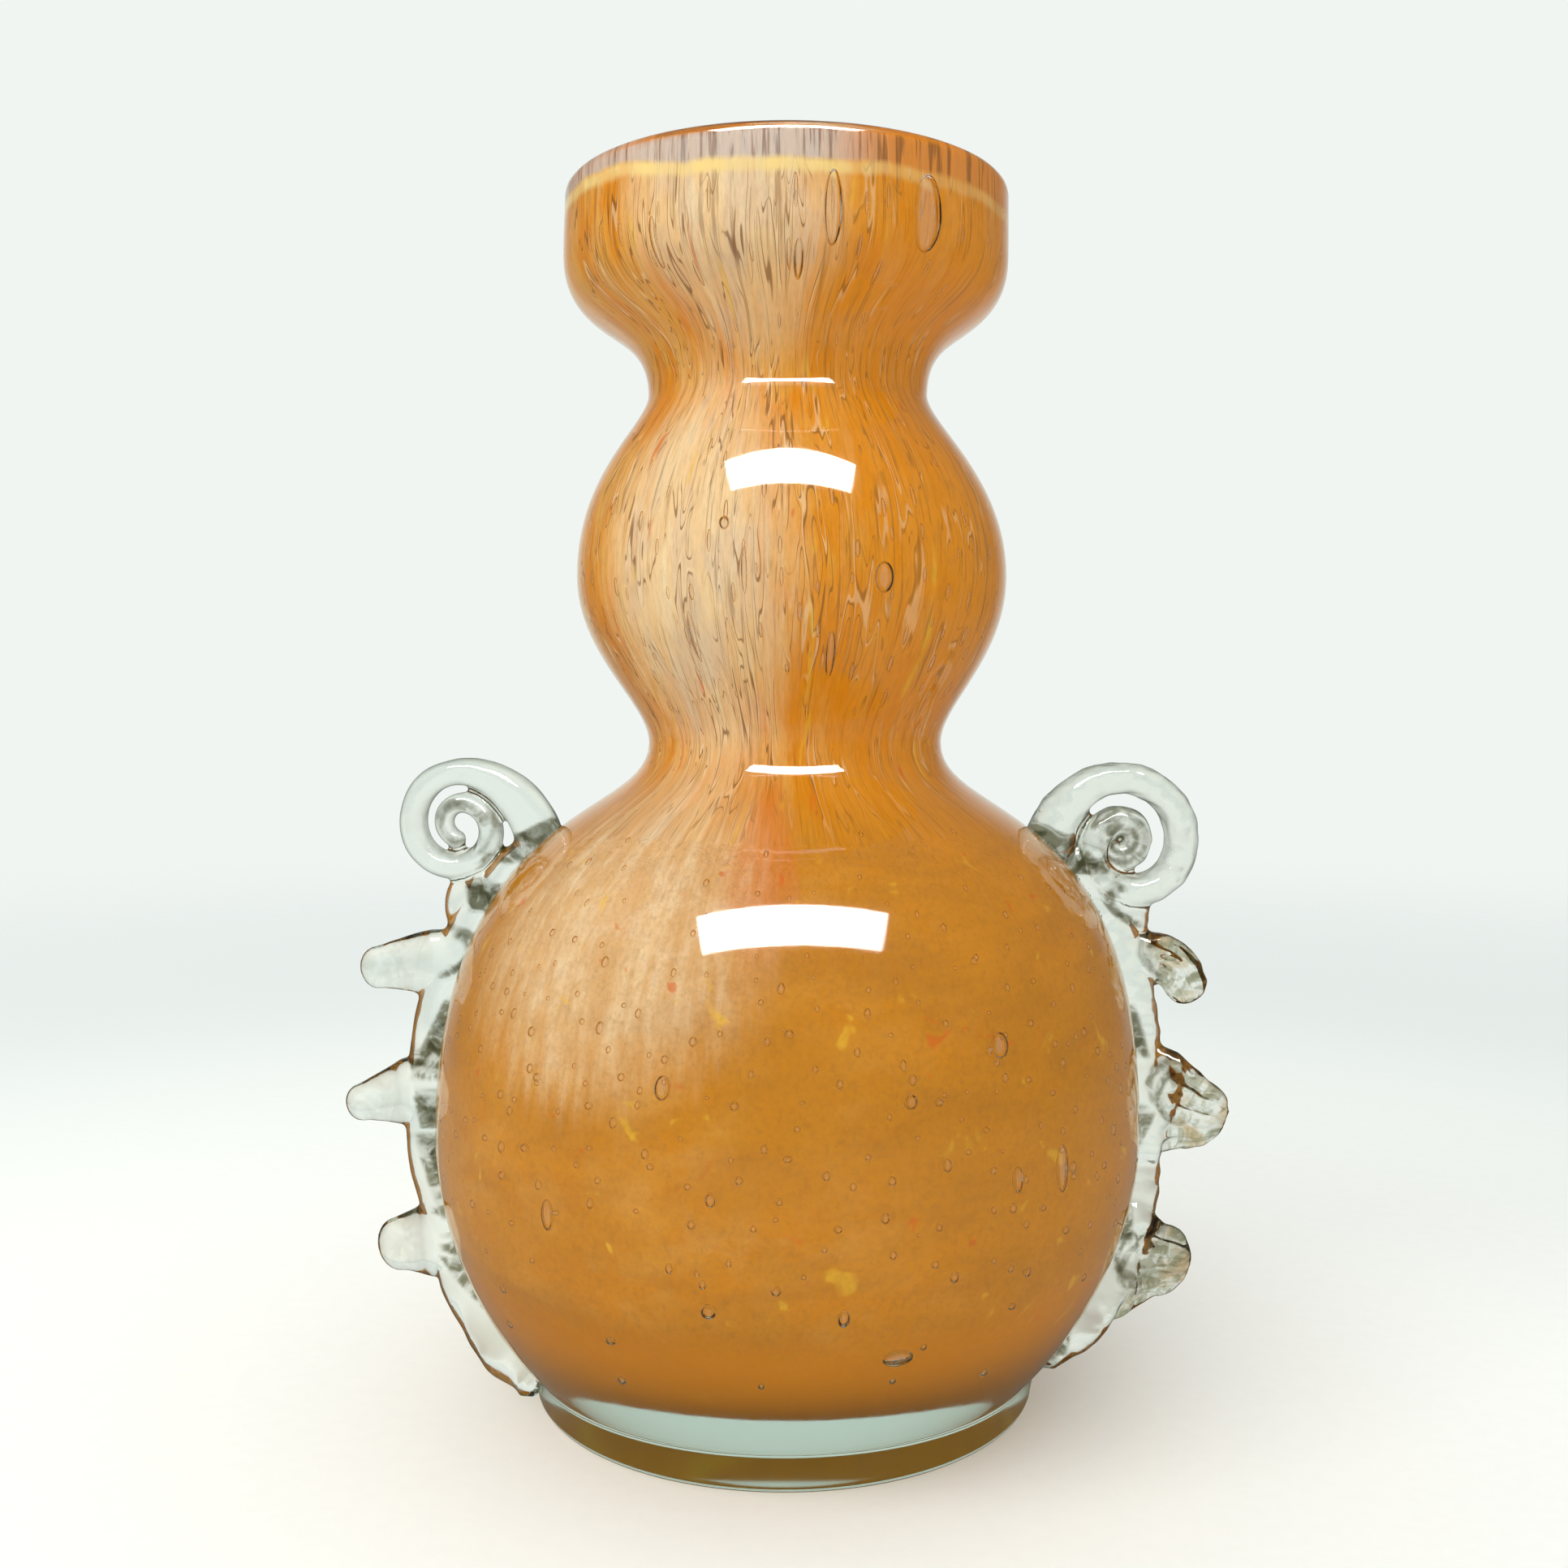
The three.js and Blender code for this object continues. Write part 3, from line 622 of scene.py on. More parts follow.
def scroll_loft(trail):
    """The scroll's rod leaves the shoulder, goes over the top and out, and winds in under itself."""
    side, scroll, hub = trail["side"], trail["scroll"], scroll_hub(trail)

    def centre_at(angle):
        leaving = 1 - min(max((angle - scroll["from"]) / (scroll["joins"] - scroll["from"]), 0), 1)
        winding = ease(angle, scroll["winds"], scroll["wound"])
        radius = blend(scroll["radius"], scroll["inner_radius"], winding) + scroll["flare"] * leaving**2
        turn = math.radians(angle)
        return hub + np.array([-side * radius * math.cos(turn), 0, radius * math.sin(turn)])

    count = round((scroll["to"] - scroll["from"]) / SCROLL_STEP_ANGLE)
    stations = []
    for angle in np.linspace(scroll["from"], scroll["to"], count + 1):
        along = centre_at(angle + 1) - centre_at(angle - 1)
        along = along / np.linalg.norm(along)
        across = np.array([-along[2], 0, along[0]]) * side
        ending = ease(angle, scroll["winds"], scroll["to"])
        settled = ease(angle, scroll["from"], scroll["joins"] + ROD_SETTLES)
        rod = blend(scroll["rod_start"], scroll["rod"], settled)
        half_across = blend(rod, scroll["rod_end"], ending) / 2
        half_through = blend(scroll["depth"], scroll["depth_end"], ending) / 2
        stations.append((centre_at(angle), across, FRONT * side, half_across, half_through, 0, 0))
    return loft(with_round_end(stations, along, half_across), SCROLL_SIDES)


def melted_together(lofts):
    """One smooth skin round overlapping bodies, as points and faces."""
    mesh = bpy.data.meshes.new("melt")
    points, faces = together(lofts)
    mesh.from_pydata(points.tolist(), [], faces)
    lump = placed("melt", mesh)
    remesh = lump.modifiers.new("skin", "REMESH")
    remesh.mode = "VOXEL"
    remesh.voxel_size = VOXEL
    smooth = lump.modifiers.new("polish", "SMOOTH")
    smooth.factor, smooth.iterations = SMOOTHING
    polished = lump.evaluated_get(bpy.context.evaluated_depsgraph_get())
    skin = polished.to_mesh()
    out = np.empty(len(skin.vertices) * 3)
    skin.vertices.foreach_get("co", out)
    out_faces = [tuple(face.vertices) for face in skin.polygons]
    polished.to_mesh_clear()
    bpy.data.objects.remove(lump)
    bpy.data.meshes.remove(mesh)
    return out.reshape(-1, 3), out_faces


def vertex_normals(points, faces):
    """Unit normals of the points, from the faces round them."""
    corners = np.array([face for face in faces if len(face) == 4])
    a, b, c, d = (points[corners[:, i]] for i in range(4))
    square = np.cross(c - a, d - b)
    normals = np.zeros_like(points)
    for column in range(4):
        np.add.at(normals, corners[:, column], square)
    return normals / np.maximum(np.linalg.norm(normals, axis=1, keepdims=True), 1e-12)


def laid_on_the_wall(points, faces):
    """Lays what is bedded in the wall flat against it, and returns the points and their normals."""
    around = np.column_stack([points[:, 0] - drift_at(points[:, 2]), points[:, 1]])
    radius = np.linalg.norm(around, axis=1)
    place = np.column_stack([radius, points[:, 2]])
    laid, bedded = points.copy(), np.zeros(len(points), bool)
    facing = np.zeros_like(points)
    wall = np.interp(points[:, 2], FINE_POINTS[:, 1], FINE_POINTS[:, 0])
    near = np.where(radius < wall + NEAR_WALL)[0]
    for chunk in np.array_split(near, max(1, len(near) // CHUNK)):
        away = place[chunk][:, None, :] - FINE_POINTS[None, :, :]
        nearest = np.argmin((away**2).sum(2), axis=1)
        outward = FINE_OUTWARD[nearest]
        height = (away[np.arange(len(chunk)), nearest] * outward).sum(1)
        inside = height < -CONTACT
        rows = chunk[inside]
        moved = place[rows] - outward[inside] * (height[inside] + CONTACT)[:, None]
        unit = around[rows] / radius[rows][:, None]
        laid[rows, :2] = unit * moved[:, :1]
        laid[rows, 0] += drift_at(moved[:, 1])
        laid[rows, 2] = moved[:, 1]
        facing[rows] = -np.column_stack([unit * outward[inside][:, :1], outward[inside][:, 1]])
        bedded[rows] = True
    normals = vertex_normals(laid, faces)
    normals[bedded] = facing[bedded]
    return laid, normals


def hand_worked(points, faces, waves):
    """Sinks the skin unevenly, as hot glass sets. Each wave has its size, its depth and its stretch."""
    normals = vertex_normals(points, faces)
    sunk = np.zeros(len(points))
    for size, depth, stretch in waves:
        scale = np.array([1 / size, 1 / size, 1 / (size * stretch)])
        swell = np.array([value_noise.noise(Vector(place)) for place in points * scale])
        sunk += depth * np.clip(0.5 + SWELL * swell, 0, 1)
    return points - normals * sunk[:, None]


def mark_painted_shade(piece, points, trail):
    """Keeps on the mesh the painted shade of the pockets, creases and rings, and the fins far out from the
    wall.
    """
    height = points[:, 2] - GLOBE_RISE
    radius = np.hypot(points[:, 0] - drift_at(points[:, 2]), points[:, 1])
    wall = np.interp(points[:, 2], FINE_POINTS[:, 1], FINE_POINTS[:, 0])
    slope = np.interp(points[:, 2], FINE_POINTS[:, 1], FINE_OUTWARD[:, 0])
    rise = (radius - wall) * slope
    # Painted shade: how dark the shading makes each point in the recesses and round the scroll
    dark = np.zeros(len(points))
    for low, high, wide_low, wide_high in trail["pockets"]:
        share = (height - low) / (high - low)
        wide = blend(wide_low, wide_high, share)
        within = ease(share, -0.05, 0.05) * ease(share, 1.05, 0.95)
        dark = np.maximum(dark, within * ease(wide - rise, -0.5, 0.4))
    for at, out, size in trail["creases"]:
        away = np.hypot(height - at, rise - out)
        inwards = ease(out - rise, -0.8, 0.6)
        dark = np.maximum(dark, 0.9 * ease(np.abs(away - size), 1.0, 0.3) * inwards)
    hub = scroll_hub(trail)
    from_hub = np.hypot(points[:, 0] - hub[0], points[:, 2] - hub[2])
    for size, strength in trail["rings"]:
        dark = np.maximum(dark, strength * ease(np.abs(from_hub - size), 0.9, 0.2))
    warm = ease(rise, 5.0, 9.0) * ease(height, 37, 33)
    for name, values in (("painted_fold_shade", dark), ("warm", warm)):
        marks = piece.data.attributes.new(name, "FLOAT", "POINT")
        marks.data.foreach_set("value", values)


def trail_piece(trail):
    """A whole trail: strap, saddle, fins and scroll in one bit of glass."""
    lofts = [strap_loft(trail), scroll_loft(trail)]
    lofts += [fin_loft(trail, fin) for fin in [trail["saddle"], *trail["fins"]]]
    points, faces = melted_together(lofts)
    points = hand_worked(points, faces, trail["waves"])
    points, normals = laid_on_the_wall(points, faces)
    piece = make_piece(trail["name"], points, faces, "trail_glass", normals)
    mark_painted_shade(piece, points, trail)
    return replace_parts(piece, trail["node"])


def colour(red, green, blue):
    """A colour written as on a screen, from 0 to 255, as the linear values that a shader takes."""
    shares = [value / 255 for value in (red, green, blue)]
    linear = [share / 12.92 if share <= 0.04045 else ((share + 0.055) / 1.055) ** 2.4 for share in shares]
    return (*linear, 1.0)


ORANGE = colour(242, 173, 70)
PEACH = colour(244, 186, 104)
EDGE_ORANGE = colour(228, 138, 18)
RIM_ORANGE = colour(236, 152, 66)
DEEP_ORANGE = colour(238, 149, 24)
AMBER = colour(208, 136, 36)
TAN = colour(255, 228, 182)
# A brighter orange painted on the globe's underside, as painted light
LOW_PAINTED_LIGHT = colour(240, 158, 42)
GREY = colour(230, 206, 180)
RUST = colour(226, 104, 34)
YELLOW = colour(250, 200, 60)
BELT = colour(178, 114, 44)
BROWN = colour(140, 88, 44)
MAUVE = colour(226, 206, 192)
RIM_YELLOW = colour(255, 226, 150)

# Patterns are drawn out above this height
DRAWN_FROM = 104.0


class Shader:
    """A material or world whose nodes are added one by one. An input is a value or a node's output."""

    def __init__(self, owner, output="OutputMaterial"):
        self.owner = owner
        self.owner.use_nodes = True
        self.tree = self.owner.node_tree
        self.tree.nodes.clear()
        self.output = self.add(output)

    def feed(self, socket, value):
        if isinstance(value, bpy.types.NodeSocket):
            self.tree.links.new(value, socket)
        else:
            socket.default_value = value

    def add(self, kind, inputs=None, **settings):
        node = self.tree.nodes.new("ShaderNode" + kind)
        for name, value in settings.items():
            setattr(node, name, value)
        for name, value in (inputs or {}).items():
            self.feed(node.inputs[name], value)
        return node

    def finish(self, surface):
        """Makes a shader node the surface of the material or world."""
        self.feed(self.output.inputs["Surface"], surface.outputs[0])
        return self.owner

    def math(self, operation, a, b=0.0, c=0.0):
        return self.add("Math", {0: a, 1: b, 2: c}, operation=operation).outputs[0]

    def plus(self, a, b):
        return self.math("ADD", a, b)

    def minus(self, a, b):
        return self.math("SUBTRACT", a, b)

    def times(self, first, *others):
        """The product of some values."""
        for other in others:
            first = self.math("MULTIPLY", first, other)
        return first

    def most(self, first, *others):
        """The largest of some values."""
        for other in others:
            first = self.math("MAXIMUM", first, other)
        return first

    def between(self, value, low, high, first=0.0, last=1.0):
        """Goes smoothly from first to last as value goes from low to high."""
        inputs = {"Value": value, "From Min": low, "From Max": high, "To Min": first, "To Max": last}
        return self.add("MapRange", inputs, interpolation_type="SMOOTHSTEP").outputs["Result"]

    def near(self, value, centre, half, soft):
        """1 within half of the centre, and 0 beyond it by more than soft."""
        off = self.math("ABSOLUTE", self.minus(value, centre))
        return self.between(off, half, half + soft, 1.0, 0.0)

    def mix(self, factor, a, b):
        return self.add("Mix", {0: factor, 6: a, 7: b}, data_type="RGBA").outputs[2]

    def blend(self, factor, a, b):
        """Mixes two shader nodes."""
        return self.add("MixShader", {0: factor, 1: a.outputs[0], 2: b.outputs[0]})

    def facing(self):
        """0 where the surface faces the eye, and 1 where it turns away."""
        return self.add("LayerWeight", {"Blend": 0.5}).outputs["Facing"]

    def noise(self, vector, scale=1.0, detail=2.0, roughness=0.5, distortion=0.0):
        inputs = {"Vector": vector, "Scale": scale, "Detail": detail, "Roughness": roughness}
        return self.add("TexNoise", {**inputs, "Distortion": distortion}).outputs[0]

    def place(self):
        """Height in millimetres, and the sideways and front-to-back directions round the axis."""
        place = self.add("SeparateXYZ", {0: self.add("TexCoord").outputs["Object"]})
        x, y, z = (self.times(place.outputs[i], 1 / MM) for i in range(3))
        radius = self.math("SQRT", self.plus(self.times(x, x), self.times(y, y)))
        radius = self.most(radius, 1.0)
        return z, self.math("DIVIDE", x, radius), self.math("DIVIDE", y, radius)

    def flow(self, around, rounded, drawn, offset=0.0):
        """Coordinates round and up the wall: patches are round on the globe and drawn out above it."""
        z, cos, sin = self.place()
        share = self.minus(self.math("MINIMUM", z, DRAWN_FROM), GLOBE_RISE)
        share = self.math("DIVIDE", share, GLOBE_SPAN)
        low = self.times(self.math("ARCSINE", share), GLOBE_SPAN / rounded)
        high = self.math("DIVIDE", self.most(self.minus(z, DRAWN_FROM), 0.0), drawn)
        across = self.math("MULTIPLY_ADD", cos, around, 0.37 + offset * 1.31)
        along = self.math("MULTIPLY_ADD", sin, around, 0.61 + offset * 0.73)
        up = self.plus(self.plus(low, high), offset)
        return self.add("CombineXYZ", {0: across, 1: along, 2: up}).outputs[0]

    def flowing(self, around, rounded, drawn, offset=0.0, **settings):
        """A noise in flow's coordinates."""
        return self.noise(self.flow(around, rounded, drawn, offset), **settings)


# Soft patches: angle from the front, height, and half of the angle and of the height that they cover
CUP_CLOUD = (-14, 211, 26, 24)
BULB_CLOUD = (-27, 149, 27, 36)
GLOBE_CLOUD = (-34, 93, 28, 25)
BACK_CLOUD = (165, 150, 30, 70)
FLAME = (-5, 102, 7, 13)


def patch(shader, where, ragged, cloud):
    """A soft patch in the orange glass, with its edge drawn out by a pattern."""
    z, cos, sin = where
    angle, height, half_angle, half_height = cloud
    turn = math.radians(angle)
    ahead = shader.plus(shader.times(cos, math.sin(turn)), shader.times(sin, -math.cos(turn)))
    wide = shader.math("DIVIDE", shader.minus(1.0, ahead), 1 - math.cos(math.radians(half_angle)))
    up = shader.math("DIVIDE", shader.minus(z, height), half_height)
    away = shader.plus(wide, shader.times(up, up))
    away = shader.plus(away, shader.times(shader.minus(ragged, 0.5), 2.4))
    return shader.between(away, -0.1, 1.8, 1.0, 0.0)


def drawn_line(shader, pattern, level, width):
    """Thin wandering lines and loops, where a pattern crosses a level."""
    off = shader.math("ABSOLUTE", shader.minus(pattern, level))
    return shader.between(off, width * 0.35, width, 1.0, 0.0)


def orange_patterns(shader):
    """The patterns of the orange glass by name, from clouds to grain."""
    return {
        "clouds": shader.flowing(2.2, 16, 44, detail=4, roughness=0.6),
        "mottle": shader.flowing(9, 6, 20, detail=5, roughness=0.62, distortion=0.4),
        "blotches": shader.flowing(6, 8, 17, 11, detail=3, roughness=0.55, distortion=0.5),
        "streaks": shader.flowing(30, 3.2, 15, detail=4, roughness=0.6),
        "threads": shader.flowing(40, 2.2, 20, 7, detail=3, roughness=0.65, distortion=0.3),
        "cords": shader.flowing(14, 5, 22, 31, detail=1, distortion=0.5),
        "breaks": shader.flowing(7, 7, 14, 53, detail=2),
        "drawn": shader.flowing(22, 15, 26, 67, detail=4, roughness=0.6),
        "belts": shader.flowing(2.6, 9, 9, 83, detail=3, roughness=0.6, distortion=0.6),
        "grain": shader.flowing(60, 1.0, 2.6, 3, detail=3, roughness=0.7),
        "flecks": shader.flowing(11, 6, 16, 19, detail=2, distortion=0.6),
        "sparks": shader.flowing(12, 6, 14, 41, detail=2, distortion=0.6),
    }


def ground_tone(shader, where, pattern, right):
    """The orange ground: mottled, amber and belted on the globe, and deeper on the right, which is partly
    its own colour and partly painted shade on the side away from the key lamp. Low down it is painted
    lighter, as painted light on the globe's underside.
    """
    z = where[0]
    low = shader.between(z, 122, 98)
    tone = shader.mix(shader.between(pattern["blotches"], 0.38, 0.60), ORANGE, DEEP_ORANGE)
    tone = shader.mix(shader.between(pattern["mottle"], 0.46, 0.66, 0.0, 0.7), tone, PEACH)
    # Deeper orange on the right: partly the glass's own colour, partly painted shade away from the key lamp
    deeper_and_shaded = shader.times(right, shader.between(pattern["blotches"], 0.35, 0.7, 0.9, 0.6))
    tone = shader.mix(deeper_and_shaded, tone, DEEP_ORANGE)
    amber = shader.times(low, shader.between(pattern["clouds"], 0.3, 0.6, 0.62, 0.92))
    tone = shader.mix(amber, tone, AMBER)
    belt = shader.times(low, shader.between(pattern["belts"], 0.42, 0.70, 0.0, 0.3))
    tone = shader.mix(belt, tone, BELT)
    # Painted light: a brighter orange low on the globe, where the underside faces the floor and gets little
    # lamp light
    tone = shader.mix(shader.between(z, 30, 17, 0.0, 0.8), tone, LOW_PAINTED_LIGHT)
    flame = patch(shader, where, pattern["drawn"], FLAME)
    return shader.mix(shader.times(flame, 0.45), tone, RUST)


def clouded_tone(shader, tone, where, pattern, above):
    """Pale clouds over the orange, with greyer blotches in them."""
    soft = shader.math("MULTIPLY_ADD", pattern["streaks"], 0.6, 0.2)
    drawn = shader.math("MULTIPLY_ADD", pattern["drawn"], 0.5, 0.25)
    on_globe = patch(shader, where, drawn, GLOBE_CLOUD)
    on_globe = shader.times(on_globe, shader.between(pattern["drawn"], 0.25, 0.72, 0.9, 0.55))
    clouds = [patch(shader, where, soft, cloud) for cloud in (CUP_CLOUD, BULB_CLOUD, BACK_CLOUD)]
    pale = shader.most(*clouds, on_globe)
    pale = shader.times(pale, shader.between(pattern["mottle"], 0.34, 0.6, 1.0, 0.7))
    tone = shader.mix(pale, tone, TAN)
    grey = shader.times(
        shader.between(pattern["blotches"], 0.46, 0.58),
        shader.between(pale, 0.2, 0.9, 0.0, 0.4),
        shader.between(above, 0, 1, 0.35, 1.0),
    )
    return shader.mix(grey, tone, GREY)


def lined_tone(shader, tone, pattern, above, right):
    """Fine dark threads, and drawn-out lines and loops that are strongest above the globe, with a pale
    painted highlight along one side of the lines.
    """
    dark = shader.between(pattern["threads"], 0.44, 0.33)
    dark = shader.times(dark, shader.between(above, 0, 1, 0.13, 0.44))
    tone = shader.mix(dark, tone, BROWN)
    shown = shader.times(
        shader.between(pattern["breaks"], 0.42, 0.54),
        shader.between(right, 0.25, 0.9, 0.95, 0.6),
        shader.between(above, 0, 1, 0.1, 1.0),
    )
    # Painted highlight: a pale tan line beside each dark line, for the lit side of a drawn-out bubble
    painted_glints = drawn_line(shader, pattern["cords"], 0.522, 0.018)
    tone = shader.mix(shader.times(painted_glints, above, shown, 0.5), tone, TAN)
    levels = ((0.5, 0.012), (0.41, 0.009), (0.59, 0.009))
    lines = shader.most(*[drawn_line(shader, pattern["cords"], level, width) for level, width in levels])
    return shader.mix(shader.times(lines, shown, 0.8), tone, BROWN)


def flecked_tone(shader, tone, pattern):
    """Yellow flecks, red sparks and a fine grain."""
    tone = shader.mix(shader.between(pattern["flecks"], 0.66, 0.76, 0.0, 0.5), tone, YELLOW)
    tone = shader.mix(shader.between(pattern["sparks"], 0.69, 0.76, 0.0, 0.6), tone, RUST)
    return shader.mix(shader.between(pattern["grain"], 0.3, 0.6, 0.16, 0.0), tone, BROWN)


def rim_tone(shader, tone, where, pattern):
    """The thin, pale top with its yellow line, and how thin the orange is there."""
    z, cos, _ = where
    wander = shader.times(shader.minus(pattern["clouds"], 0.5), 4.0)
    lift = shader.between(cos, -0.25, -0.85, 0.0, -2.4)
    top = shader.plus(shader.plus(z, wander), lift)
    thin = shader.between(top, 213.8, 215.0)
    veil = shader.mix(shader.between(cos, 0.1, 0.5), MAUVE, RIM_ORANGE)
    tone = shader.mix(shader.times(thin, 0.85), tone, veil)
    streaks = shader.times(thin, shader.between(pattern["threads"], 0.47, 0.37, 0.0, 0.7))
    tone = shader.mix(streaks, tone, BROWN)
    line = shader.times(
        shader.near(top, 213.3, 0.3, 1.5),
        shader.between(pattern["blotches"], 0.36, 0.62, 1.0, 0.6),
        shader.between(cos, 0.05, 0.5, 1.0, 0.4),
    )
    return shader.mix(line, tone, RIM_YELLOW), thin


def orange_glass():
    """Cloudy orange glass with tan clouds, flecks, drawn-out lines and a pale, thin top."""
    shader = Shader(bpy.data.materials.new("orange_glass"))
    where = shader.place()
    z, cos, _ = where
    pattern = orange_patterns(shader)
    right = shader.between(cos, -0.30, 0.70)
    above = shader.between(z, 92, 120)
    tone = ground_tone(shader, where, pattern, right)
    tone = clouded_tone(shader, tone, where, pattern, above)
    tone = lined_tone(shader, tone, pattern, above, right)
    tone = flecked_tone(shader, tone, pattern)
    tone, thin = rim_tone(shader, tone, where, pattern)
    tone = shader.mix(shader.between(shader.facing(), 0.18, 0.8, 0.0, 0.85), tone, EDGE_ORANGE)

    relief = shader.plus(shader.times(pattern["streaks"], 0.5), shader.times(pattern["mottle"], 0.5))
    bump = shader.add("Bump", {"Strength": 0.3, "Distance": 0.4 * MM, "Height": relief}).outputs[0]
    solid = shader.add("BsdfDiffuse", {"Color": tone, "Roughness": 0.3, "Normal": bump})
    lit = shader.add("BsdfTranslucent", {"Color": tone, "Normal": bump})
    gap = shader.times(
        thin,
        shader.between(pattern["streaks"], 0.35, 0.6, 0.1, 0.4),
        shader.between(cos, 0.1, 0.5, 1.0, 0.3),
    )
    return shader.finish(shader.blend(gap, shader.blend(0.15, solid, lit), shader.add("BsdfTransparent")))


WHITE = (1.0, 1.0, 1.0, 1.0)
AQUA = (0.59, 0.765, 0.675, 1.0)
AQUA_DENSITY = 12.5
SHADOW_TINT = (0.97, 0.98, 0.97, 1.0)
FOLD_SHADE_TINT = (0.24, 0.23, 0.15, 1.0)
WARM_TINT = (0.74, 0.58, 0.36, 1.0)
OLIVE_SHADE_TINT = (0.52, 0.52, 0.40, 1.0)
EDGE_POWER = 2.3


def worked_tint(shader, tint, place, painted_fold_shade, warmth, olive_shade):
    """A trail's tint: painted shade in its folds, warm swirls on its fins, and olive patches of painted
    shade on them.
    """
    marked = shader.add("Attribute", attribute_name="painted_fold_shade").outputs["Fac"]
    fins = shader.add("Attribute", attribute_name="warm").outputs["Fac"]
    swirl = shader.noise(place, scale=260, detail=3, distortion=1.4)
    # Painted shade in the trail's pockets, creases and scroll rings
    dark = shader.times(marked, shader.between(swirl, 0.38, 0.62, 0.25, painted_fold_shade))
    tint = shader.mix(dark, tint, FOLD_SHADE_TINT)
    blush = shader.noise(place, scale=150, detail=2, distortion=1.0)
    blush = shader.times(shader.between(blush, 0.48, 0.64, 0.0, warmth), fins)
    tint = shader.mix(blush, tint, WARM_TINT)
    # Painted shade: olive patches that darken the fins
    olive_patches = shader.times(shader.between(swirl, 0.46, 0.60, 0.0, olive_shade), fins)
    return shader.mix(olive_patches, tint, OLIVE_SHADE_TINT)


def clear_glass(name, edge, body=WHITE, worn=0.03, ior=1.5, aqua=True, ripple=0.0, worked=None):
    """Clear glass that lamps shine through, greyer where it turns away from the eye: painted shade at its
    outlines. Worked glass also has a trail's painted shade in its folds and olive patches on its fins,
    and its warm swirls, whose strengths it names."""
    shader = Shader(bpy.data.materials.new(name))
    place = shader.add("TexCoord").outputs["Object"]
    wear = shader.noise(place, scale=900, detail=3)
    # Painted shade at the outlines, where the glass turns away from the eye
    tint = shader.mix(shader.math("POWER", shader.facing(), EDGE_POWER), body, edge)
    if worked:
        tint = worked_tint(shader, tint, place, **worked)
    glass = {"Color": tint, "Roughness": shader.between(wear, 0.3, 0.7, worn * 0.7, worn * 1.3), "IOR": ior}
    if ripple:
        cords = shader.noise(place, scale=160, detail=2)
        bump = shader.add("Bump", {"Strength": ripple, "Distance": 0.5 * MM, "Height": cords})
        glass["Normal"] = bump.outputs[0]
    path = shader.add("LightPath")
    passes = shader.most(path.outputs["Is Shadow Ray"], path.outputs["Is Diffuse Ray"])
    clear = shader.add("BsdfTransparent", {"Color": SHADOW_TINT})
    if aqua:
        depth = shader.add("VolumeAbsorption", {"Color": AQUA, "Density": AQUA_DENSITY})
        shader.feed(shader.output.inputs["Volume"], depth.outputs[0])
    return shader.finish(shader.blend(passes, shader.add("BsdfGlass", glass), clear))


# Edge colours tint the glass where it turns away from the eye: painted shade round the outlines of the
# casing, the bubbles and the trails
CASING_GLASS = {"edge": (0.9, 0.92, 0.88, 1.0), "worn": 0.06}
AIR = {"edge": (0.6, 0.55, 0.5, 1.0), "ior": 1 / 1.5, "aqua": False}
PLAIN_TRAIL_GLASS = {
    "edge": (0.14, 0.16, 0.11, 1.0), "body": (0.975, 0.985, 0.96, 1.0), "ripple": 0.15,
    "worked": {"painted_fold_shade": 0.95, "warmth": 0.1, "olive_shade": 0.12},
}
RIBBED_TRAIL_GLASS = {
    "edge": (0.12, 0.13, 0.09, 1.0), "body": (0.965, 0.97, 0.94, 1.0), "ripple": 0.3,
    "worked": {"painted_fold_shade": 0.95, "warmth": 0.6, "olive_shade": 0.8},
}

FLOOR_COLOUR = colour(244, 246, 239)
FAR_FLOOR = colour(226, 232, 227)
FLOOR_FIBRE = colour(222, 222, 212)
MIRRORED_FLOOR = colour(150, 150, 146)
BACKGROUND = colour(240, 245, 242)
FLOOR_SIDES = 64
FLOOR_REACH_M = 1.5
FLOOR_DROP_M = 0.0002


def floor_surface():
    """Pale paper, which fades into the pale studio far behind the vase."""
    shader = Shader(bpy.data.materials.new("studio_floor"))
    place = shader.add("TexCoord").outputs["Object"]
    away = shader.add("VectorMath", {0: place}, operation="LENGTH").outputs["Value"]
    fibre = shader.noise(place, scale=300, detail=4)
    tone = shader.mix(shader.between(away, 0.14, 0.50), FLOOR_COLOUR, FAR_FLOOR)
    tone = shader.mix(shader.between(fibre, 0.3, 0.7, 0.0, 0.06), tone, FLOOR_FIBRE)
    path = shader.add("LightPath")
    # Painted reflection: the floor shows darker grey in the glass's reflections, which dims the pale veil
    # on it
    mirrored = shader.minus(path.outputs["Is Glossy Ray"], path.outputs["Is Transmission Ray"])
    tone = shader.mix(shader.most(mirrored, 0.0), tone, MIRRORED_FLOOR)
    paper = shader.add("BsdfDiffuse", {"Color": tone})
    clear = shader.add("BsdfTransparent")
    return shader.finish(shader.blend(shader.between(away, 0.16, 1.1), paper, clear))


def studio_floor():
    """A round floor, which is stage and no part of the vase."""
    angles = [2 * math.pi * i / FLOOR_SIDES for i in range(FLOOR_SIDES)]
    rim = [(FLOOR_REACH_M * math.cos(a), FLOOR_REACH_M * math.sin(a), -FLOOR_DROP_M) for a in angles]
    mesh = bpy.data.meshes.new("studio_floor")
    mesh.from_pydata(rim, [], [tuple(range(FLOOR_SIDES))])
    floor = placed("studio_floor", mesh)
    mesh.materials.append(floor_surface())


WORLD_LIGHT = (0.82, 0.84, 0.86, 1.0)
FRONT_GLOSS = 0.2
FRONT_END = 0.7


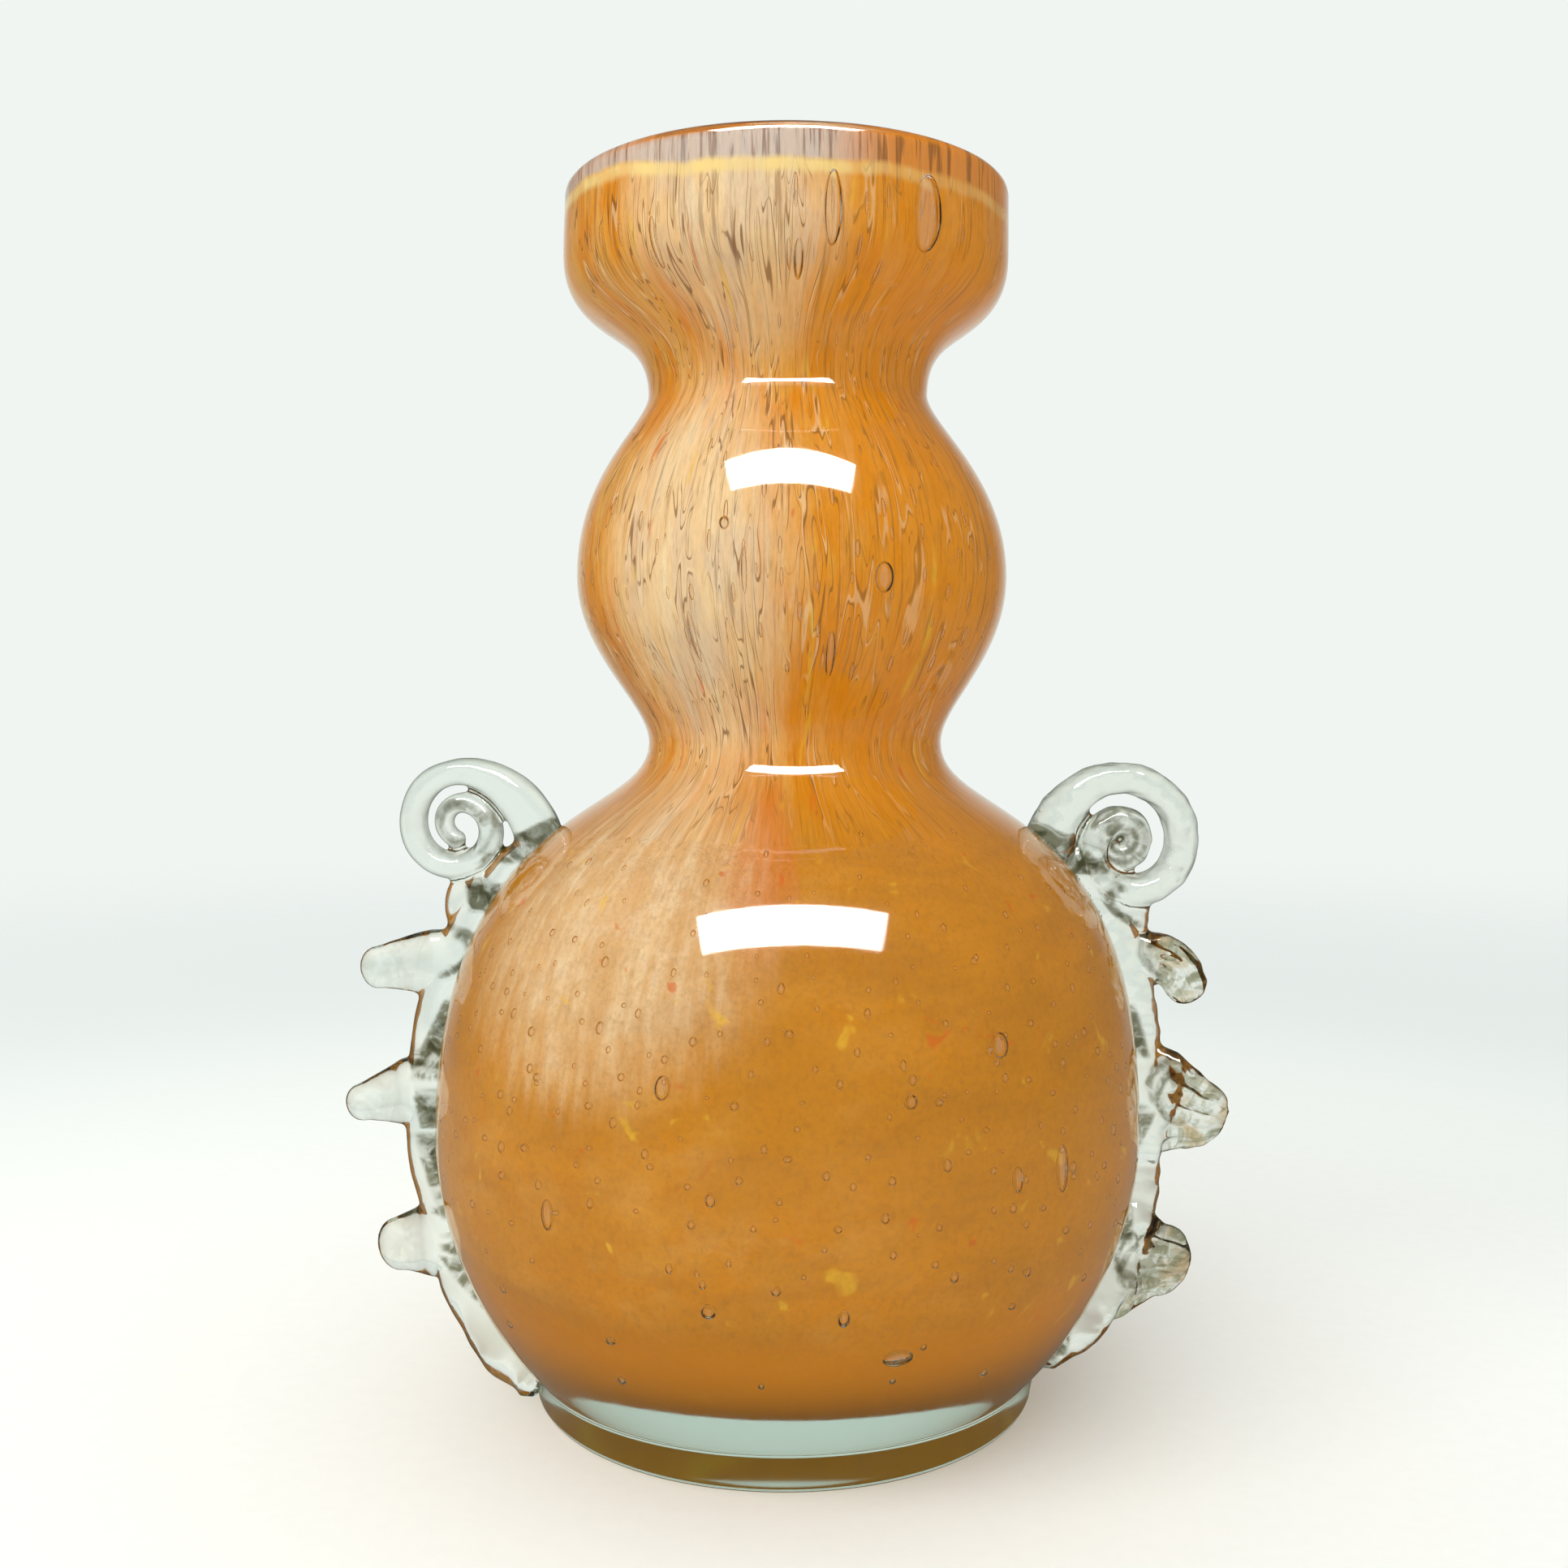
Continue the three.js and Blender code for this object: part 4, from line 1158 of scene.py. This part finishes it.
def studio_world():
    """Even pale light all round, and a pale background for what the camera and the glass see. Its
    reflections are dim from the front, and bright from behind the vase."""
    shader = Shader(bpy.data.worlds.new("studio"), "OutputWorld")
    path = shader.add("LightPath").outputs
    ahead = shader.add("SeparateXYZ", {0: shader.add("TexCoord").outputs["Generated"]}).outputs["Y"]
    front = shader.between(ahead, FRONT_END, 1.0, FRONT_GLOSS, 1.0)
    mirrored = shader.most(shader.minus(path["Is Glossy Ray"], path["Is Transmission Ray"]), 0.0)
    strength = shader.add("Mix", {0: mirrored, 2: 1.0, 3: front}).outputs[0]
    seen = shader.most(path["Is Camera Ray"], path["Is Glossy Ray"], path["Is Transmission Ray"])
    light = shader.add("Background", {"Color": WORLD_LIGHT})
    pale = shader.add("Background", {"Color": BACKGROUND, "Strength": strength})
    bpy.context.scene.world = shader.finish(shader.blend(seen, light, pale))


SOFTBOX_AIM = Vector((0.0, 0.0, 0.12))
SOFTBOX_SIZE = (1.16, 0.38)
KEY = {"place": Vector((-0.42, -0.64, 0.98)), "power": 7.2, "glossy": False}
HIGHLIGHT = {"place": Vector((0.0, -0.60, 1.11)), "power": 42.0, "glossy": True}


def softbox(name, place, power, glossy):
    """An area lamp aimed at the vase. A glossy one only makes highlights, and the other only lights."""
    data = bpy.data.lights.new(name, "AREA")
    data.shape = "RECTANGLE"
    data.size, data.size_y = SOFTBOX_SIZE
    data.energy = power
    lamp = placed(name, data)
    lamp.location = place
    lamp.rotation_euler = (SOFTBOX_AIM - place).to_track_quat("-Z", "Y").to_euler()
    lamp.visible_camera = False
    lamp.visible_transmission = False
    lamp.visible_glossy = glossy
    lamp.visible_diffuse = not glossy


CAMERA_PLACE = (0, -0.30046, 0.12838)
CAMERA_PITCH = 3.016
CAMERA_LENS = 37.27
CAMERA_SENSOR = 36


def camera():
    """The camera at the photograph's place, pitched down a little."""
    data = bpy.data.cameras.new("camera")
    data.sensor_width = CAMERA_SENSOR
    data.lens = CAMERA_LENS
    eye = placed("camera", data)
    eye.location = CAMERA_PLACE
    eye.rotation_euler = (math.radians(90 - CAMERA_PITCH), 0, 0)
    bpy.context.scene.camera = eye


camera()
studio_world()
studio_floor()
softbox("key_light", **KEY)
softbox("key_highlight", **HIGHLIGHT)

body = glass_body()
body.data.materials.append(clear_glass("casing_glass", **CASING_GLASS))
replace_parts(body, "clear_casing", "inner_gather")
layer = orange_layer()
layer.data.materials.append(orange_glass())
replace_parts(layer, "colour_layer")
air = trapped_air()
air.data.materials.append(clear_glass("air_in_glass", **AIR))
plain_glass = clear_glass("plain_trail_glass", **PLAIN_TRAIL_GLASS)
ribbed_glass = clear_glass("ribbed_trail_glass", **RIBBED_TRAIL_GLASS)
trail_piece(LEFT_TRAIL).data.materials.append(plain_glass)
trail_piece(RIGHT_TRAIL).data.materials.append(ribbed_glass)

bpy.context.scene.view_settings.view_transform = "Standard"
